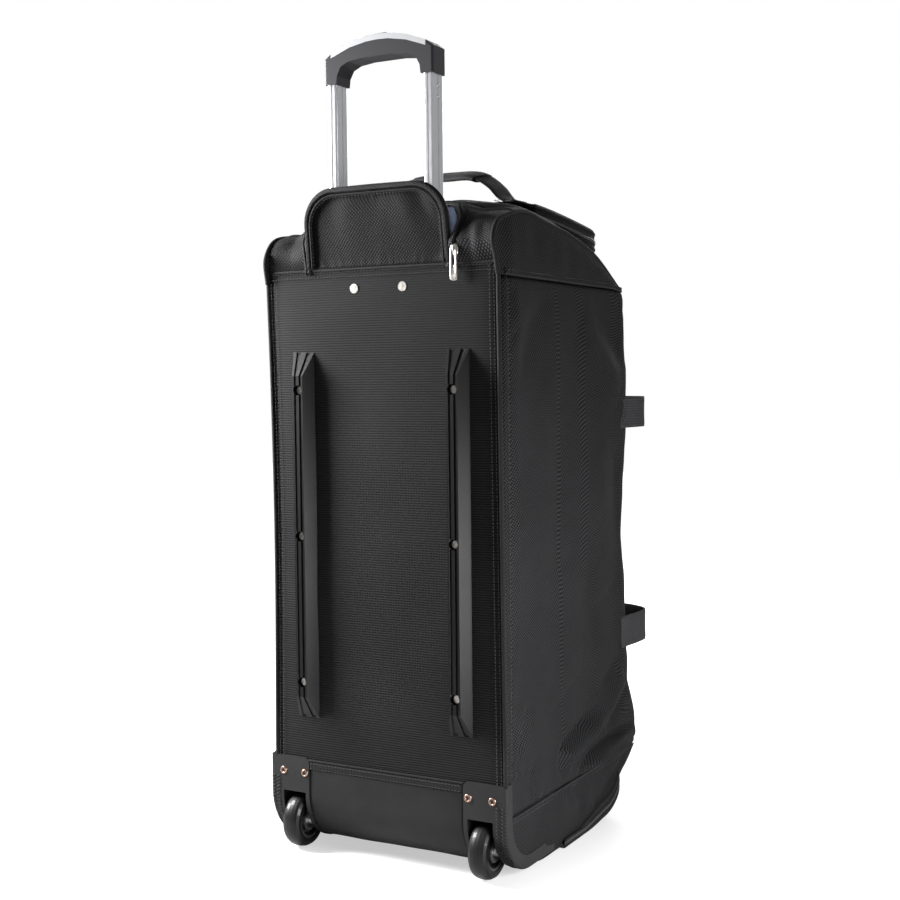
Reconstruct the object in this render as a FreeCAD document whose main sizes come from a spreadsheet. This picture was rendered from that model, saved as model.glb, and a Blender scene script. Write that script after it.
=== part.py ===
import FreeCAD, Part
import math
import os
import Sketcher

# Rolling duffel bag that stands on two skate wheels and its lower end pocket.
#
# The bag's rigid back (panel, board, skid rails, telescoping handle, wheel housings) faces -Y,
# the soft body reaches back to +Y and +Z is up. Every sub-part is drawn with Y = 0 on the outer
# face of the back panel and Z = 0 on the floor, then moved by back_y so that the document's
# origin is the centre of the whole object's footprint. Sizes are in millimetres.

OUT = "parts"

CELLS = {
    # whole bag
    "back_y": -213.2,
    "cloth": 2.0,
    "body_half": 150.0,
    "panel_half_top": 145.0,
    "panel_half_low": 147.0,
    "seam_z": 665.0,
    "skirt_z": 105.0,
    "skirt_half": 100.0,
    "skirt_depth": 100.0,
    "low_seam_z": 70.0,
    "top_seam_z": 651.0,
    "body_low_z": 8.0,
    "corner_radius": 57.0,
    "corner_z": 65.0,
    "front_y": 372.0,
    "bulge_y": 404.0,
    "side_round": 24.0,
    "side_depth": 346.0,
    "crown_y": 105.0,
    "crown_z": 736.0,
    # board and trolley hardware inside the back
    "board_half": 138.0,
    "board_low_z": 74.0,
    "board_top_z": 650.0,
    "board_back": 4.0,
    "tube_x": 61.5,
    "tube_wide": 12.0,
    "tube_deep": 23.0,
    "tube_wall": 1.2,
    "tube_y": 17.5,
    "tube_low_z": 556.0,
    "tube_top_z": 882.0,
    "sleeve_wide": 16.0,
    "sleeve_deep": 27.0,
    "sleeve_low_z": 82.0,
    "sleeve_top_z": 655.0,
    "bracket_half": 80.0,
    "bracket_y": 4.0,
    "bracket_deep": 30.0,
    "bracket_low_z": 76.0,
    "bracket_high": 24.0,
    "bezel_low_z": 632.0,
    "bezel_high": 25.0,
    "well_half": 84.0,
    "well_y": 36.0,
    "well_low_z": 600.0,
    "well_top_z": 722.0,
    # skid rails
    "rail_x": 99.0,
    "rail_foot_half": 14.8,
    "rail_crest_half": 6.85,
    "rail_tip_half": 14.4,
    "rail_high": 16.0,
    "rail_tip_high": 1.6,
    "rail_low_z": 157.0,
    "rail_ridge_low_z": 183.0,
    "rail_ridge_top_z": 547.0,
    "rail_top_z": 574.5,
    "rail_hole_low_z": 199.5,
    "rail_hole_mid_z": 366.0,
    "rail_hole_top_z": 531.0,
    "rail_recess_r": 5.6,
    "rail_recess": 7.0,
    "screw_r": 1.9,
    "screw_head_r": 4.2,
    "screw_head": 2.2,
    # rivets
    "rivet_x": 31.0,
    "rivet_z": 643.0,
    "rivet_head_r": 5.2,
    "rivet_head": 1.6,
    "rivet_r": 2.0,
    "rivet_long": 10.0,
    # wheels and their housings
    "wheel_x": 121.0,
    "wheel_y": 16.0,
    "wheel_r": 32.0,
    "tyre_half": 11.0,
    "tyre_bore_r": 22.0,
    "hub_half": 9.5,
    "bearing_r": 11.0,
    "bearing_half": 3.5,
    "bearing_bore_r": 4.05,
    "axle_r": 4.0,
    "housing_in_x": 100.5,
    "housing_out_x": 153.0,
    "housing_wall": 2.5,
    "housing_top_z": 109.0,
    "housing_tail_y": 62.0,
    "window_in_x": 105.5,
    "window_out_x": 136.5,
    "window_top_z": 68.0,
    "housing_rivet_in_x": 106.5,
    "housing_rivet_out_x": 136.0,
    "housing_rivet_z": 91.0,
    "housing_rivet_head_r": 4.6,
    # telescoping handle
    "tube_foot_z": 532.0,
    "pin_z": 544.0,
    "pin_r": 2.5,
    "grip_half": 69.5,
    "grip_leg_in": 54.0,
    "grip_low_z": 870.0,
    "grip_crown_z": 918.0,
    "grip_deep": 28.0,
    "button_half": 9.0,
    "travel": 190.0,
    # flap over the handle
    "flap_half": 91.5,
    "flap_high": 86.0,
    "flap_round": 34.0,
    "flap_thick": 2.6,
    "flap_lean": 7.0,
    "binding": 4.0,
    # end pockets
    "pocket_back_y": 138.0,
    "pocket_front_y": 344.0,
    "pocket_half": 128.0,
    "pocket_round": 50.0,
    "pocket_low_z": 640.0,
    "pocket_top_z": 738.5,
    "pocket_front_z": 722.0,
    "pocket_zip_z": 706.0,
    "foot_back_y": 110.0,
    "foot_front_y": 344.0,
    "foot_half": 138.0,
    "foot_round": 60.0,
    "foot_top_z": 60.0,
    "foot_zip_z": 14.0,
    "zip_band": 10.0,
    "zip_proud": 1.2,
    # front opening
    "main_zip_half": 7.0,
        "main_zip_low_z": 99.0,
    "main_zip_top_z": 604.0,
    "coil_half": 2.6,
    # webbing
    "webbing": 40.0,
    "webbing_thick": 2.4,
    "strap_z": 140.0,
    "strap_mid_z": 360.0,
    "strap_front_y": 436.0,
    "top_strap_y": 120.0,
    "top_strap_half": 100.0,
    "top_strap_foot_z": 740.0,
    "top_strap_high": 36.0,
}

doc = FreeCAD.newDocument("rolling_duffel")
sheet = doc.addObject("Spreadsheet::Sheet", "Sheet")
for row, (alias, value) in enumerate(CELLS.items(), start=1):
    sheet.set(f"A{row}", alias)
    sheet.set(f"B{row}", str(value))
    sheet.setAlias(f"B{row}", alias)
doc.recompute()

NODES = []
SIDES = {"left": -1, "right": 1}


# ---------------------------------------------------------------- sums of cells
def words(text):
    """Splits a sum such as 'seam_z - flap_high/2' into (sign, name, divisor) terms."""
    terms = []
    sign = 1
    for word in text.split():
        if word in ("+", "-"):
            sign = -1 if word == "-" else 1
            continue
        if word.startswith("-"):
            sign, word = -sign, word[1:]
        name, _, divisor = word.partition("/")
        terms.append((sign, name, float(divisor or 1)))
        sign = 1
    return terms


def mm(text):
    """The value of a sum of cells and numbers."""
    total = 0.0
    for sign, name, divisor in words(text):
        total += sign * (CELLS[name] if name in CELLS else float(name)) / divisor
    return total


def formula(text):
    """The same sum as a FreeCAD expression on the sheet."""
    out = ""
    for sign, name, divisor in words(text):
        cell = f"Sheet.{name}" if name in CELLS else name
        out += f"{'-' if sign < 0 else '+'} {cell} / {divisor:g} "
    return "0 " + out


def mirrored(text):
    """The sum with every sign turned, for the other side of the bag."""
    out = ""
    for sign, name, divisor in words(text):
        out += f"{'+' if sign < 0 else '-'} {name}/{divisor:g} "
    return "0 " + out


def span(low, high):
    """The sum for the distance from one sum up to another."""
    return f"{high} + {mirrored(low)}"


def sided(text, side):
    return text if side > 0 else mirrored(text)


# ---------------------------------------------------------------- building blocks
def keep_body(body, label):
    """Makes a body or a boolean a node of its own, standing at the bag's place."""
    body.Label = label
    body.setExpression("Placement.Base.y", "Sheet.back_y")
    NODES.append(body)
    return body


def new_body(name):
    return doc.addObject("PartDesign::Body", name)


def new_sketch(body, name, role, offset="0"):
    """A sketch on one of the body's own planes, moved along the plane's normal."""
    sketch = body.newObject("Sketcher::SketchObject", name)
    support = next(f for f in body.Origin.OriginFeatures if f.Role == role)
    sketch.AttachmentSupport = [(support, "")]
    sketch.MapMode = "FlatFace"
    sketch.setExpression("AttachmentOffset.Base.z", formula(offset))
    return sketch


def bind(sketch, kind, geometry, position, text):
    """Binds one coordinate of a sketch's point to a sum of cells."""
    if abs(mm(text)) < 1e-9:
        axis = -2 if kind == "DistanceX" else -1
        sketch.addConstraint(Sketcher.Constraint("PointOnObject", geometry, position, axis))
        return
    index = sketch.addConstraint(Sketcher.Constraint(kind, -1, 1, geometry, position, mm(text)))
    sketch.setExpression(f"Constraints[{index}]", formula(text))


def pin_down(sketch, geometry, position, x, y):
    """Binds one point of a sketch to two sums of cells."""
    bind(sketch, "DistanceX", geometry, position, x)
    bind(sketch, "DistanceY", geometry, position, y)


def polygon(sketch, corners):
    """A closed outline of straight lines through corners, each bound to the sheet."""
    first = sketch.GeometryCount
    points = [FreeCAD.Vector(mm(x), mm(y), 0) for x, y in corners]
    count = len(points)
    for i in range(count):
        sketch.addGeometry(Part.LineSegment(points[i], points[(i + 1) % count]))
    for i in range(count):
        after = first + (i + 1) % count
        sketch.addConstraint(Sketcher.Constraint("Coincident", first + i, 2, after, 1))
    for i, (x, y) in enumerate(corners):
        pin_down(sketch, first + i, 1, x, y)


def rectangle(sketch, x0, y0, x1, y1):
    polygon(sketch, [(x0, y0), (x1, y0), (x1, y1), (x0, y1)])


def circle(sketch, x, y, radius):
    index = sketch.addGeometry(
        Part.Circle(FreeCAD.Vector(mm(x), mm(y), 0), FreeCAD.Vector(0, 0, 1), mm(radius))
    )
    pin_down(sketch, index, 3, x, y)
    bound = sketch.addConstraint(Sketcher.Constraint("Radius", index, mm(radius)))
    sketch.setExpression(f"Constraints[{bound}]", formula(radius))


def pad(body, sketch, length, both=False, back=False):
    feature = body.newObject("PartDesign::Pad", sketch.Name + "_pad")
    feature.Profile = sketch
    feature.setExpression("Length", formula(length))
    feature.Midplane = both
    feature.Reversed = back
    doc.recompute()
    return feature


def pocket(body, sketch, length, both=False, back=False):
    """Cuts, and says so if nothing was cut."""
    before = body.Shape.Volume
    feature = body.newObject("PartDesign::Pocket", sketch.Name + "_cut")
    feature.Profile = sketch
    feature.setExpression("Length", formula(length))
    feature.Midplane = both
    feature.Reversed = back
    doc.recompute()
    if body.Shape.Volume > before - 1e-3:
        raise RuntimeError(f"{feature.Name} cut nothing")
    return feature


def round_edges(body, radius, wanted, kind="Fillet"):
    """Rounds the edges of the body's tip whose middle passes the test."""
    base = body.Tip
    names = []
    for number, edge in enumerate(base.Shape.Edges, start=1):
        middle = edge.valueAt((edge.FirstParameter + edge.LastParameter) / 2)
        if wanted(middle, edge):
            names.append(f"Edge{number}")
    feature = body.newObject(f"PartDesign::{kind}", f"{body.Name}_{kind.lower()}")
    feature.Base = (base, names)
    feature.setExpression("Radius" if kind == "Fillet" else "Size", formula(radius))
    doc.recompute()
    if feature.Shape.isNull() or not feature.isValid():
        raise RuntimeError(f"{feature.Name} of {body.Name} failed on {len(names)} edges")
    return feature


def along(edge, axis):
    """Whether a straight edge runs along an axis."""
    if edge.Curve.TypeId != "Part::GeomLine":
        return False
    return abs(edge.tangentAt(edge.FirstParameter).dot(axis)) > 0.999


X_AXIS = FreeCAD.Vector(1, 0, 0)
Y_AXIS = FreeCAD.Vector(0, 1, 0)
Z_AXIS = FreeCAD.Vector(0, 0, 1)


def box(name, low, high):
    """A Part::Box between two corners, each given as three sums of cells."""
    made = doc.addObject("Part::Box", name)
    for prop, lo, hi in zip(("Length", "Width", "Height"), low, high):
        made.setExpression(prop, f"({formula(hi)}) - ({formula(lo)})")
    for part, lo in zip("xyz", low):
        made.setExpression(f"Placement.Base.{part}", formula(lo))
    doc.recompute()
    return made


def cylinder(name, centre, radius, length, axis):
    """A Part::Cylinder that starts at centre and runs along axis."""
    made = doc.addObject("Part::Cylinder", name)
    made.setExpression("Radius", formula(radius))
    made.setExpression("Height", formula(length))
    turn = FreeCAD.Rotation(Z_AXIS, axis)
    made.Placement = FreeCAD.Placement(FreeCAD.Vector(0, 0, 0), turn)
    for part, text in zip("xyz", centre):
        made.setExpression(f"Placement.Base.{part}", formula(text))
    doc.recompute()
    return made


def cut(name, base, tool):
    made = doc.addObject("Part::Cut", name)
    made.Base = base
    made.Tool = tool
    doc.recompute()
    return made


def common(name, base, tool):
    made = doc.addObject("Part::Common", name)
    made.Base = base
    made.Tool = tool
    doc.recompute()
    return made


def fuse(name, shapes):
    made = doc.addObject("Part::MultiFuse", name)
    made.Shapes = shapes
    made.Refine = True
    doc.recompute()
    return made


def group(name, shapes):
    made = doc.addObject("Part::Compound", name)
    made.Links = shapes
    doc.recompute()
    return made


def bound_sketch_arc(sketch, centre, radius, start, end):
    """An arc about a bound centre, from one angle to another, with a bound radius."""
    whole = Part.Circle(FreeCAD.Vector(mm(centre[0]), mm(centre[1]), 0), Z_AXIS, mm(radius))
    index = sketch.addGeometry(Part.ArcOfCircle(whole, math.radians(start), math.radians(end)))
    pin_down(sketch, index, 3, *centre)
    bound = sketch.addConstraint(Sketcher.Constraint("Radius", index, mm(radius)))
    sketch.setExpression(f"Constraints[{bound}]", formula(radius))
    return index


# ---------------------------------------------------------------- soft body
def body_block(name, inset):
    """The bag's filled outer shape, drawn inset by a wall's thickness."""
    body = new_body(name)
    sketch = new_sketch(body, name + "_outline", "YZ_Plane", f"{inset} - body_half")
    polygon(
        sketch,
        [
            (f"0 + {inset}", f"body_low_z + {inset}"),
            ("165", f"body_low_z + {inset}"),
            (f"bulge_y - {inset}", f"low_seam_z - 10 + {inset}"),
            (f"bulge_y - {inset}", "120"),
            (f"front_y - {inset}", "240"),
            (f"front_y - {inset}", f"top_seam_z - 10 - {inset}"),
            ("255", f"crown_z - 28 - {inset}"),
            ("crown_y", f"crown_z - {inset}"),
            (f"48 + {inset}", f"crown_z - 8 - {inset}"),
            (f"0 + {inset}", f"seam_z + 25 - {inset}"),
        ],
    )
    pad(body, sketch, f"body_half + body_half - {inset} - {inset}")

    def corner(y, z):
        return lambda p, e: along(e, X_AXIS) and abs(p.y - y) < 3 and abs(p.z - z) < 3

    step = mm(inset)
    round_edges(body, f"corner_radius - {inset}", corner(step, mm("body_low_z") + step))
    for y, z, radius in (
        (mm("bulge_y") - step, mm("low_seam_z") - 10 + step, "34"),
        (mm("front_y") - step, mm("top_seam_z") - 10 - step, "55"),
        (step, mm("seam_z") + 25 - step, "30"),
    ):
        round_edges(body, f"{radius} - {inset}", corner(y, z))

    def side_rim(p, e):
        at_side = abs(abs(p.x) - (mm("body_half") - step)) < 0.5
        return at_side and p.y > 120 and not along(e, X_AXIS)

    round_edges(body, f"side_round - {inset}", side_rim)
    return body


outer = body_block("BagOuter", "0")
inner = body_block("BagInner", "cloth")
shell = cut("BagShell", outer, inner)


def panel(label, low, high, without=()):
    """A stretch of the shell between two corners, less any boxes named."""
    name = label.title().replace("_", "")
    made = common(name, shell, box(name + "Region", low, high))
    for number, (lo, hi) in enumerate(without, start=1):
        made = cut(f"{name}Less{number}", made, box(f"{name}Gap{number}", lo, hi))
    return keep_body(made, label)


for side_name, side in SIDES.items():
    edges = sorted((sided("panel_half_low", side), sided("body_half + 1", side)), key=mm)
    panel(
        f"side_panel_{side_name}",
        (edges[0], "-1", "low_seam_z"),
        (edges[1], "side_depth", "top_seam_z"),
    )

panel(
    "front_panel",
    ("-body_half - 1", "side_depth", "low_seam_z"),
    ("body_half + 1", "bulge_y + 5", "top_seam_z"),
    [
        (
            ("-main_zip_half", "side_depth - 5", "main_zip_low_z"),
            ("main_zip_half", "bulge_y + 9", "main_zip_top_z"),
        )
    ],
)
panel(
    "top_cap",
    ("-body_half - 1", "-1", "top_seam_z"),
    ("body_half + 1", "bulge_y", "crown_z + 5"),
    [
        (("-panel_half_low", "-2", "600"), ("panel_half_low", "cloth", "seam_z")),
        (("-well_half - 2", "-2", "640"), ("well_half + 2", "well_y + 3", "crown_z + 9")),
    ],
)
panel(
    "bottom_cap",
    ("-body_half - 1", "-1", "0"),
    ("body_half + 1", "bulge_y + 5", "low_seam_z"),
    [
        (("-skirt_half", "-2", "-1"), ("skirt_half", "skirt_depth", "80")),
        (("-window_out_x - 3", "-2", "-1"), ("window_out_x + 3", "housing_tail_y", "80")),
    ],
)
panel(
    "scuff_guard",
    ("-skirt_half", "-1", "0"),
    ("skirt_half", "skirt_depth", "skirt_z"),
)


def back_panel():
    body = new_body("BackPanel")
    sketch = new_sketch(body, "BackOutline", "XZ_Plane")
    polygon(
        sketch,
        [
            ("-panel_half_low", "skirt_z"),
            ("panel_half_low", "skirt_z"),
            ("panel_half_top", "seam_z"),
            ("-panel_half_top", "seam_z"),
        ],
    )
    pad(body, sketch, "cloth", back=True)
    holes = new_sketch(body, "BackHoles", "XZ_Plane", "1")
    for x, z, radius in through_holes():
        circle(holes, x, z, radius)
    pocket(body, holes, "10")
    lower = new_sketch(body, "BackCorners", "XZ_Plane", "1")
    for side in SIDES.values():
        x0, x1 = sorted((sided("skirt_half", side), sided("body_half", side)), key=mm)
        rectangle(lower, x0, "90", x1, "housing_top_z + 1")
    pocket(body, lower, "10")
    return keep_body(body, "back_panel")


def through_holes():
    """Where the rail screws and the two handle rivets pass through panel and board."""
    found = []
    for side in SIDES.values():
        for z in ("rail_hole_low_z", "rail_hole_mid_z", "rail_hole_top_z"):
            found.append((sided("rail_x", side), z, "screw_r + 0.1"))
        found.append((sided("rivet_x", side), "rivet_z", "rivet_r + 0.1"))
    return found


def base_board():
    body = new_body("BaseBoard")
    sketch = new_sketch(body, "BoardOutline", "XZ_Plane", "-cloth")
    rectangle(sketch, "-board_half", "board_low_z", "board_half", "board_top_z")
    pad(body, sketch, "board_back - cloth", back=True)
    holes = new_sketch(body, "BoardHoles", "XZ_Plane", "1")
    for x, z, radius in through_holes():
        circle(holes, x, z, radius)
    for side in SIDES.values():
        for x in ("housing_rivet_in_x", "housing_rivet_out_x"):
            circle(holes, sided(x, side), "housing_rivet_z", "rivet_r + 0.1")
    pocket(body, holes, "20")
    return keep_body(body, "base_board")


def side_piping():
    """The two corded seams beside the back panel."""
    cords = []
    for side_name, side in SIDES.items():
        centre = (sided("body_half + 1.8", side), "0.5", "housing_top_z + 1.2")
        cords.append(
            cylinder(f"Piping{side_name}", centre, "1.7", "seam_z - housing_top_z - 2", Z_AXIS)
        )
    return keep_body(group("SidePiping", cords), "side_piping")


def main_zip():
    body = new_body("MainZip")
    bends = [("bulge_y - cloth - 1.1", "120"), ("front_y - cloth - 1.1", "240")]
    low, high = "bulge_y - cloth - 1.1", "front_y - cloth - 1.1"
    tape_path = [(low, "main_zip_low_z - 4"), *bends, (high, "main_zip_top_z + 4")]
    coil_path = [(low, "main_zip_low_z + 1"), *bends, (high, "main_zip_top_z - 1")]
    tape = new_sketch(body, "ZipTape", "YZ_Plane")
    polygon(tape, ribbon(tape_path, "-0.9"))
    pad(body, tape, "main_zip_half + main_zip_half + 12", both=True)
    coil = new_sketch(body, "ZipCoil", "YZ_Plane")
    polygon(coil, ribbon(coil_path, "-cloth - 1"))
    pad(body, coil, "coil_half + coil_half", both=True)
    return keep_body(body, "main_zip")


# ---------------------------------------------------------------- end pockets
def pocket_block(name, half, back, front, low, high, corner):
    """A pocket's filled shape: a slab with a level or sloping top and rounded front corners."""
    body = new_body(name)
    back_top, front_top = high
    sketch = new_sketch(body, name + "_profile", "YZ_Plane", mirrored(half))
    polygon(sketch, [(back, low), (front, low), (front, front_top), (back, back_top)])
    pad(body, sketch, f"{half} + {half}")
    at_front = mm(front) - 1
    round_edges(body, corner, lambda p, e: along(e, Z_AXIS) and p.y > at_front)
    return body


def pocket_zip_band(label, body_name, half, back, front, z, corner):
    """The zip's tape and coil round three sides of a pocket, a thin proud band."""
    low, high = f"{z} - zip_band/2", f"{z} + zip_band/2"
    outside = pocket_block(
        body_name + "Out",
        f"{half} + zip_proud",
        back,
        f"{front} + zip_proud",
        low,
        (high, high),
        corner,
    )
    inside = pocket_block(
        body_name + "In",
        half,
        f"{back} - 5",
        front,
        f"{low} - 1",
        (f"{high} + 1", f"{high} + 1"),
        corner,
    )
    band = cut(body_name + "Band", outside, inside)
    return keep_body(cut(body_name, band, outer), label)


def end_pockets():
    block = pocket_block(
        "TopPocketBlock",
        "pocket_half",
        "pocket_back_y",
        "pocket_front_y",
        "pocket_low_z",
        ("pocket_top_z", "pocket_front_z"),
        "pocket_round",
    )
    front_z = mm("pocket_front_z") - 1
    round_edges(
        block,
        "8",
        lambda p, e: p.z > front_z and (p.y > mm("pocket_back_y") + 1 or abs(p.x) > 120),
    )
    keep_body(cut("TopPocket", block, outer), "top_pocket")
    pocket_zip_band(
        "top_pocket_zip",
        "TopZip",
        "pocket_half",
        "pocket_back_y + 30",
        "pocket_front_y",
        "pocket_zip_z",
        "pocket_round",
    )
    block = pocket_block(
        "FootPocketBlock",
        "foot_half",
        "foot_back_y",
        "foot_front_y",
        "0",
        ("foot_top_z", "foot_top_z"),
        "foot_round",
    )
    keep_body(cut("FootPocket", block, outer), "bottom_pocket")
    pocket_zip_band(
        "bottom_pocket_zip",
        "FootZip",
        "foot_half",
        "foot_back_y + 60",
        "foot_front_y",
        "foot_zip_z",
        "foot_round",
    )


# ---------------------------------------------------------------- back hardware
def well_lining():
    body = new_body("WellLining")
    sketch = new_sketch(body, "WellPlan", "XY_Plane", "well_low_z")
    polygon(
        sketch,
        [
            ("-well_half - 1", "board_back + 0.3"),
            ("-well_half", "board_back + 0.3"),
            ("-well_half", "well_y"),
            ("well_half", "well_y"),
            ("well_half", "board_back + 0.3"),
            ("well_half + 1", "board_back + 0.3"),
            ("well_half + 1", "well_y + 1"),
            ("-well_half - 1", "well_y + 1"),
        ],
    )
    pad(body, sketch, "well_top_z - well_low_z")
    return keep_body(body, "trolley_well_lining")


def sleeves():
    """The two fixed outer tubes, each with its lock holes."""
    made = []
    for side_name, side in SIDES.items():
        body = new_body(f"Sleeve{side_name}")
        x = sided("tube_x", side)
        sketch = new_sketch(body, f"Sleeve{side_name}Outer", "XY_Plane", "sleeve_low_z")
        rectangle(
            sketch,
            f"{x} - sleeve_wide/2",
            "tube_y - sleeve_deep/2",
            f"{x} + sleeve_wide/2",
            "tube_y + sleeve_deep/2",
        )
        pad(body, sketch, "sleeve_top_z - sleeve_low_z")
        round_edges(body, "2.5", lambda p, e: along(e, Z_AXIS))
        bore = new_sketch(body, f"Sleeve{side_name}Bore", "XY_Plane", "sleeve_top_z")
        rectangle(
            bore,
            f"{x} - sleeve_wide/2 + tube_wall",
            "tube_y - sleeve_deep/2 + tube_wall",
            f"{x} + sleeve_wide/2 - tube_wall",
            "tube_y + sleeve_deep/2 - tube_wall",
        )
        pocket(body, bore, "sleeve_top_z - sleeve_low_z")
        locks = new_sketch(body, f"Sleeve{side_name}Locks", "YZ_Plane", x)
        for drop in ("0", "travel/2", "travel"):
            circle(locks, "tube_y", f"pin_z - {drop}", "2.9")
        pocket(body, locks, "20", back=side > 0)
        made.append(body)
    return keep_body(group("TrolleySleeves", made), "trolley_sleeves")


def crossbar(label, name, low, high, seat_low, seat_high):
    """A moulded bar across the back that holds both sleeves between two heights."""
    body = new_body(name)
    sketch = new_sketch(body, name + "Plan", "XY_Plane", low)
    rectangle(sketch, "-bracket_half", "bracket_y", "bracket_half", "bracket_y + bracket_deep")
    pad(body, sketch, f"{high} - {low}")
    round_edges(body, "4", lambda p, e: along(e, Z_AXIS) and p.y > 20)
    seats = new_sketch(body, name + "Seats", "XY_Plane", seat_high)
    runs = new_sketch(body, name + "Runs", "XY_Plane", high)
    for side in SIDES.values():
        x = sided("tube_x", side)
        around_tube(seats, x, "sleeve_wide/2", "sleeve_deep/2")
        around_tube(runs, x, "tube_wide/2 + 0.05", "tube_deep/2 + 0.05")
    pocket(body, seats, f"{seat_high} - {seat_low}")
    if mm(seat_high) < mm(high):
        pocket(body, runs, f"{high} - {seat_high} + 1")
    else:
        body.removeObject(runs)
        doc.removeObject(runs.Name)
    middle = new_sketch(body, name + "Middle", "XY_Plane", high)
    rectangle(middle, "-46", "bracket_y + 7", "46", "bracket_y + bracket_deep + 5")
    pocket(body, middle, f"{high} - {low}")
    holes = new_sketch(body, name + "Holes", "XZ_Plane")
    for side in SIDES.values():
        circle(holes, sided("rivet_x", side), f"{low} + 11", "rivet_r + 0.1")
    pocket(body, holes, "30")
    return keep_body(body, label)


def around_tube(sketch, x, half_wide, half_deep):
    rectangle(
        sketch,
        f"{x} + {mirrored(half_wide)}",
        f"tube_y + {mirrored(half_deep)}",
        f"{x} + {half_wide}",
        f"tube_y + {half_deep}",
    )


def skid_rail(side_name, side):
    body = new_body(f"Rail{side_name}")
    sections = []
    for number, (z, half, high) in enumerate(
        (
            ("rail_low_z", "rail_tip_half", "rail_tip_high"),
            ("rail_ridge_low_z", "rail_crest_half", "rail_high"),
            ("rail_ridge_top_z", "rail_crest_half", "rail_high"),
            ("rail_top_z", "rail_tip_half", "rail_tip_high"),
        )
    ):
        sketch = new_sketch(body, f"Rail{side_name}Section{number}", "XY_Plane", z)
        x = sided("rail_x", side)
        deep = f"-{high}"
        # two grooves between three ribs: each mark is a share of the crest's half width
        marks = [("1.45", 0), ("1.75", 1), ("3.2", 1), ("3.6", 0)]
        left = [(f"{x} - {half}/{share}", f"{deep} + {1.5 * dip}") for share, dip in marks]
        right = [(f"{x} + {half}/{share}", f"{deep} + {1.5 * dip}") for share, dip in marks]
        polygon(
            sketch,
            [(f"{x} - rail_foot_half", "0"), (f"{x} - {half}", deep)]
            + left
            + right[::-1]
            + [(f"{x} + {half}", deep), (f"{x} + rail_foot_half", "0")],
        )
        sections.append(sketch)
    loft = body.newObject("PartDesign::AdditiveLoft", f"Rail{side_name}Loft")
    loft.Profile = sections[0]
    loft.Sections = sections[1:]
    loft.Ruled = True
    doc.recompute()
    for depth, radius in (("rail_recess", "rail_recess_r"), ("rail_high + 1", "screw_r + 0.1")):
        holes = new_sketch(body, f"Rail{side_name}Hole{radius[:5]}", "XZ_Plane", "rail_high")
        for z in ("rail_hole_low_z", "rail_hole_mid_z", "rail_hole_top_z"):
            circle(holes, sided("rail_x", side), z, radius)
        pocket(body, holes, depth)
    return keep_body(body, f"skid_rail_{side_name}")


def stud(name, x, z, head_y, head_radius, head, radius, end_y):
    """A headed pin through the back: head towards -Y, shank towards +Y."""
    top = cylinder(name + "Head", (x, f"{head_y} - {head}", z), head_radius, head, Y_AXIS)
    shank = cylinder(name + "Shank", (x, head_y, z), radius, span(head_y, end_y), Y_AXIS)
    return fuse(name, [top, shank])


def back_fasteners():
    screws = []
    rivets = []
    housing = []
    for side_name, side in SIDES.items():
        for level in ("low", "mid", "top"):
            screws.append(
                stud(
                    f"RailScrew{side_name}{level}",
                    sided("rail_x", side),
                    f"rail_hole_{level}_z",
                    "-rail_high + rail_recess",
                    "screw_head_r",
                    "screw_head",
                    "screw_r",
                    "board_back",
                )
            )
        rivets.append(
            stud(
                f"PanelRivet{side_name}",
                sided("rivet_x", side),
                "rivet_z",
                "0",
                "rivet_head_r",
                "rivet_head",
                "rivet_r",
                "rivet_long",
            )
        )
        for place in ("in", "out"):
            housing.append(
                stud(
                    f"HousingRivet{side_name}{place}",
                    sided(f"housing_rivet_{place}_x", side),
                    "housing_rivet_z",
                    "-housing_wall",
                    "housing_rivet_head_r",
                    "1.3",
                    "rivet_r",
                    "board_back",
                )
            )
    keep_body(group("RailScrews", screws), "rail_screws")
    keep_body(group("PanelRivets", rivets), "panel_rivets")
    keep_body(group("HousingRivets", housing), "housing_rivets")


# ---------------------------------------------------------------- wheels
def corner_profile(sketch, wall, back, top, tail):
    """The housing's band round the bag's lower back corner, seen from the side."""
    centre = ("corner_radius", "corner_z")
    outer_r = f"corner_radius + {wall}"
    inner_r = f"corner_radius - {back}"
    out_arc = bound_sketch_arc(sketch, centre, outer_r, 180, 270)
    in_arc = bound_sketch_arc(sketch, centre, inner_r, 180, 270)
    r_out, r_in = mm(outer_r), mm(inner_r)
    cy, cz = mm("corner_radius"), mm("corner_z")

    def line(a, b):
        return sketch.addGeometry(
            Part.LineSegment(FreeCAD.Vector(*a, 0), FreeCAD.Vector(*b, 0))
        )

    up = line((cy - r_out, cz), (cy - r_out, mm(top)))
    lid = line((cy - r_out, mm(top)), (cy - r_in, mm(top)))
    down = line((cy - r_in, mm(top)), (cy - r_in, cz))
    away = line((cy, cz - r_out), (mm(tail), cz - r_out))
    end = line((mm(tail), cz - r_out), (mm(tail), cz - r_in))
    home = line((mm(tail), cz - r_in), (cy, cz - r_in))
    joins = (
        (out_arc, 1, up, 1),
        (up, 2, lid, 1),
        (lid, 2, down, 1),
        (down, 2, in_arc, 1),
        (out_arc, 2, away, 1),
        (away, 2, end, 1),
        (end, 2, home, 1),
        (home, 2, in_arc, 2),
    )
    for a, pa, b, pb in joins:
        sketch.addConstraint(Sketcher.Constraint("Coincident", a, pa, b, pb))
    for vertical in (up, down, end):
        sketch.addConstraint(Sketcher.Constraint("Vertical", vertical))
    for level in (lid, away, home):
        sketch.addConstraint(Sketcher.Constraint("Horizontal", level))
    for arc in (out_arc, in_arc):
        sketch.addConstraint(Sketcher.Constraint("Horizontal", arc, 1, arc, 3))
        sketch.addConstraint(Sketcher.Constraint("Vertical", arc, 2, arc, 3))
    bind(sketch, "DistanceY", up, 2, top)
    bind(sketch, "DistanceX", away, 2, tail)


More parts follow.
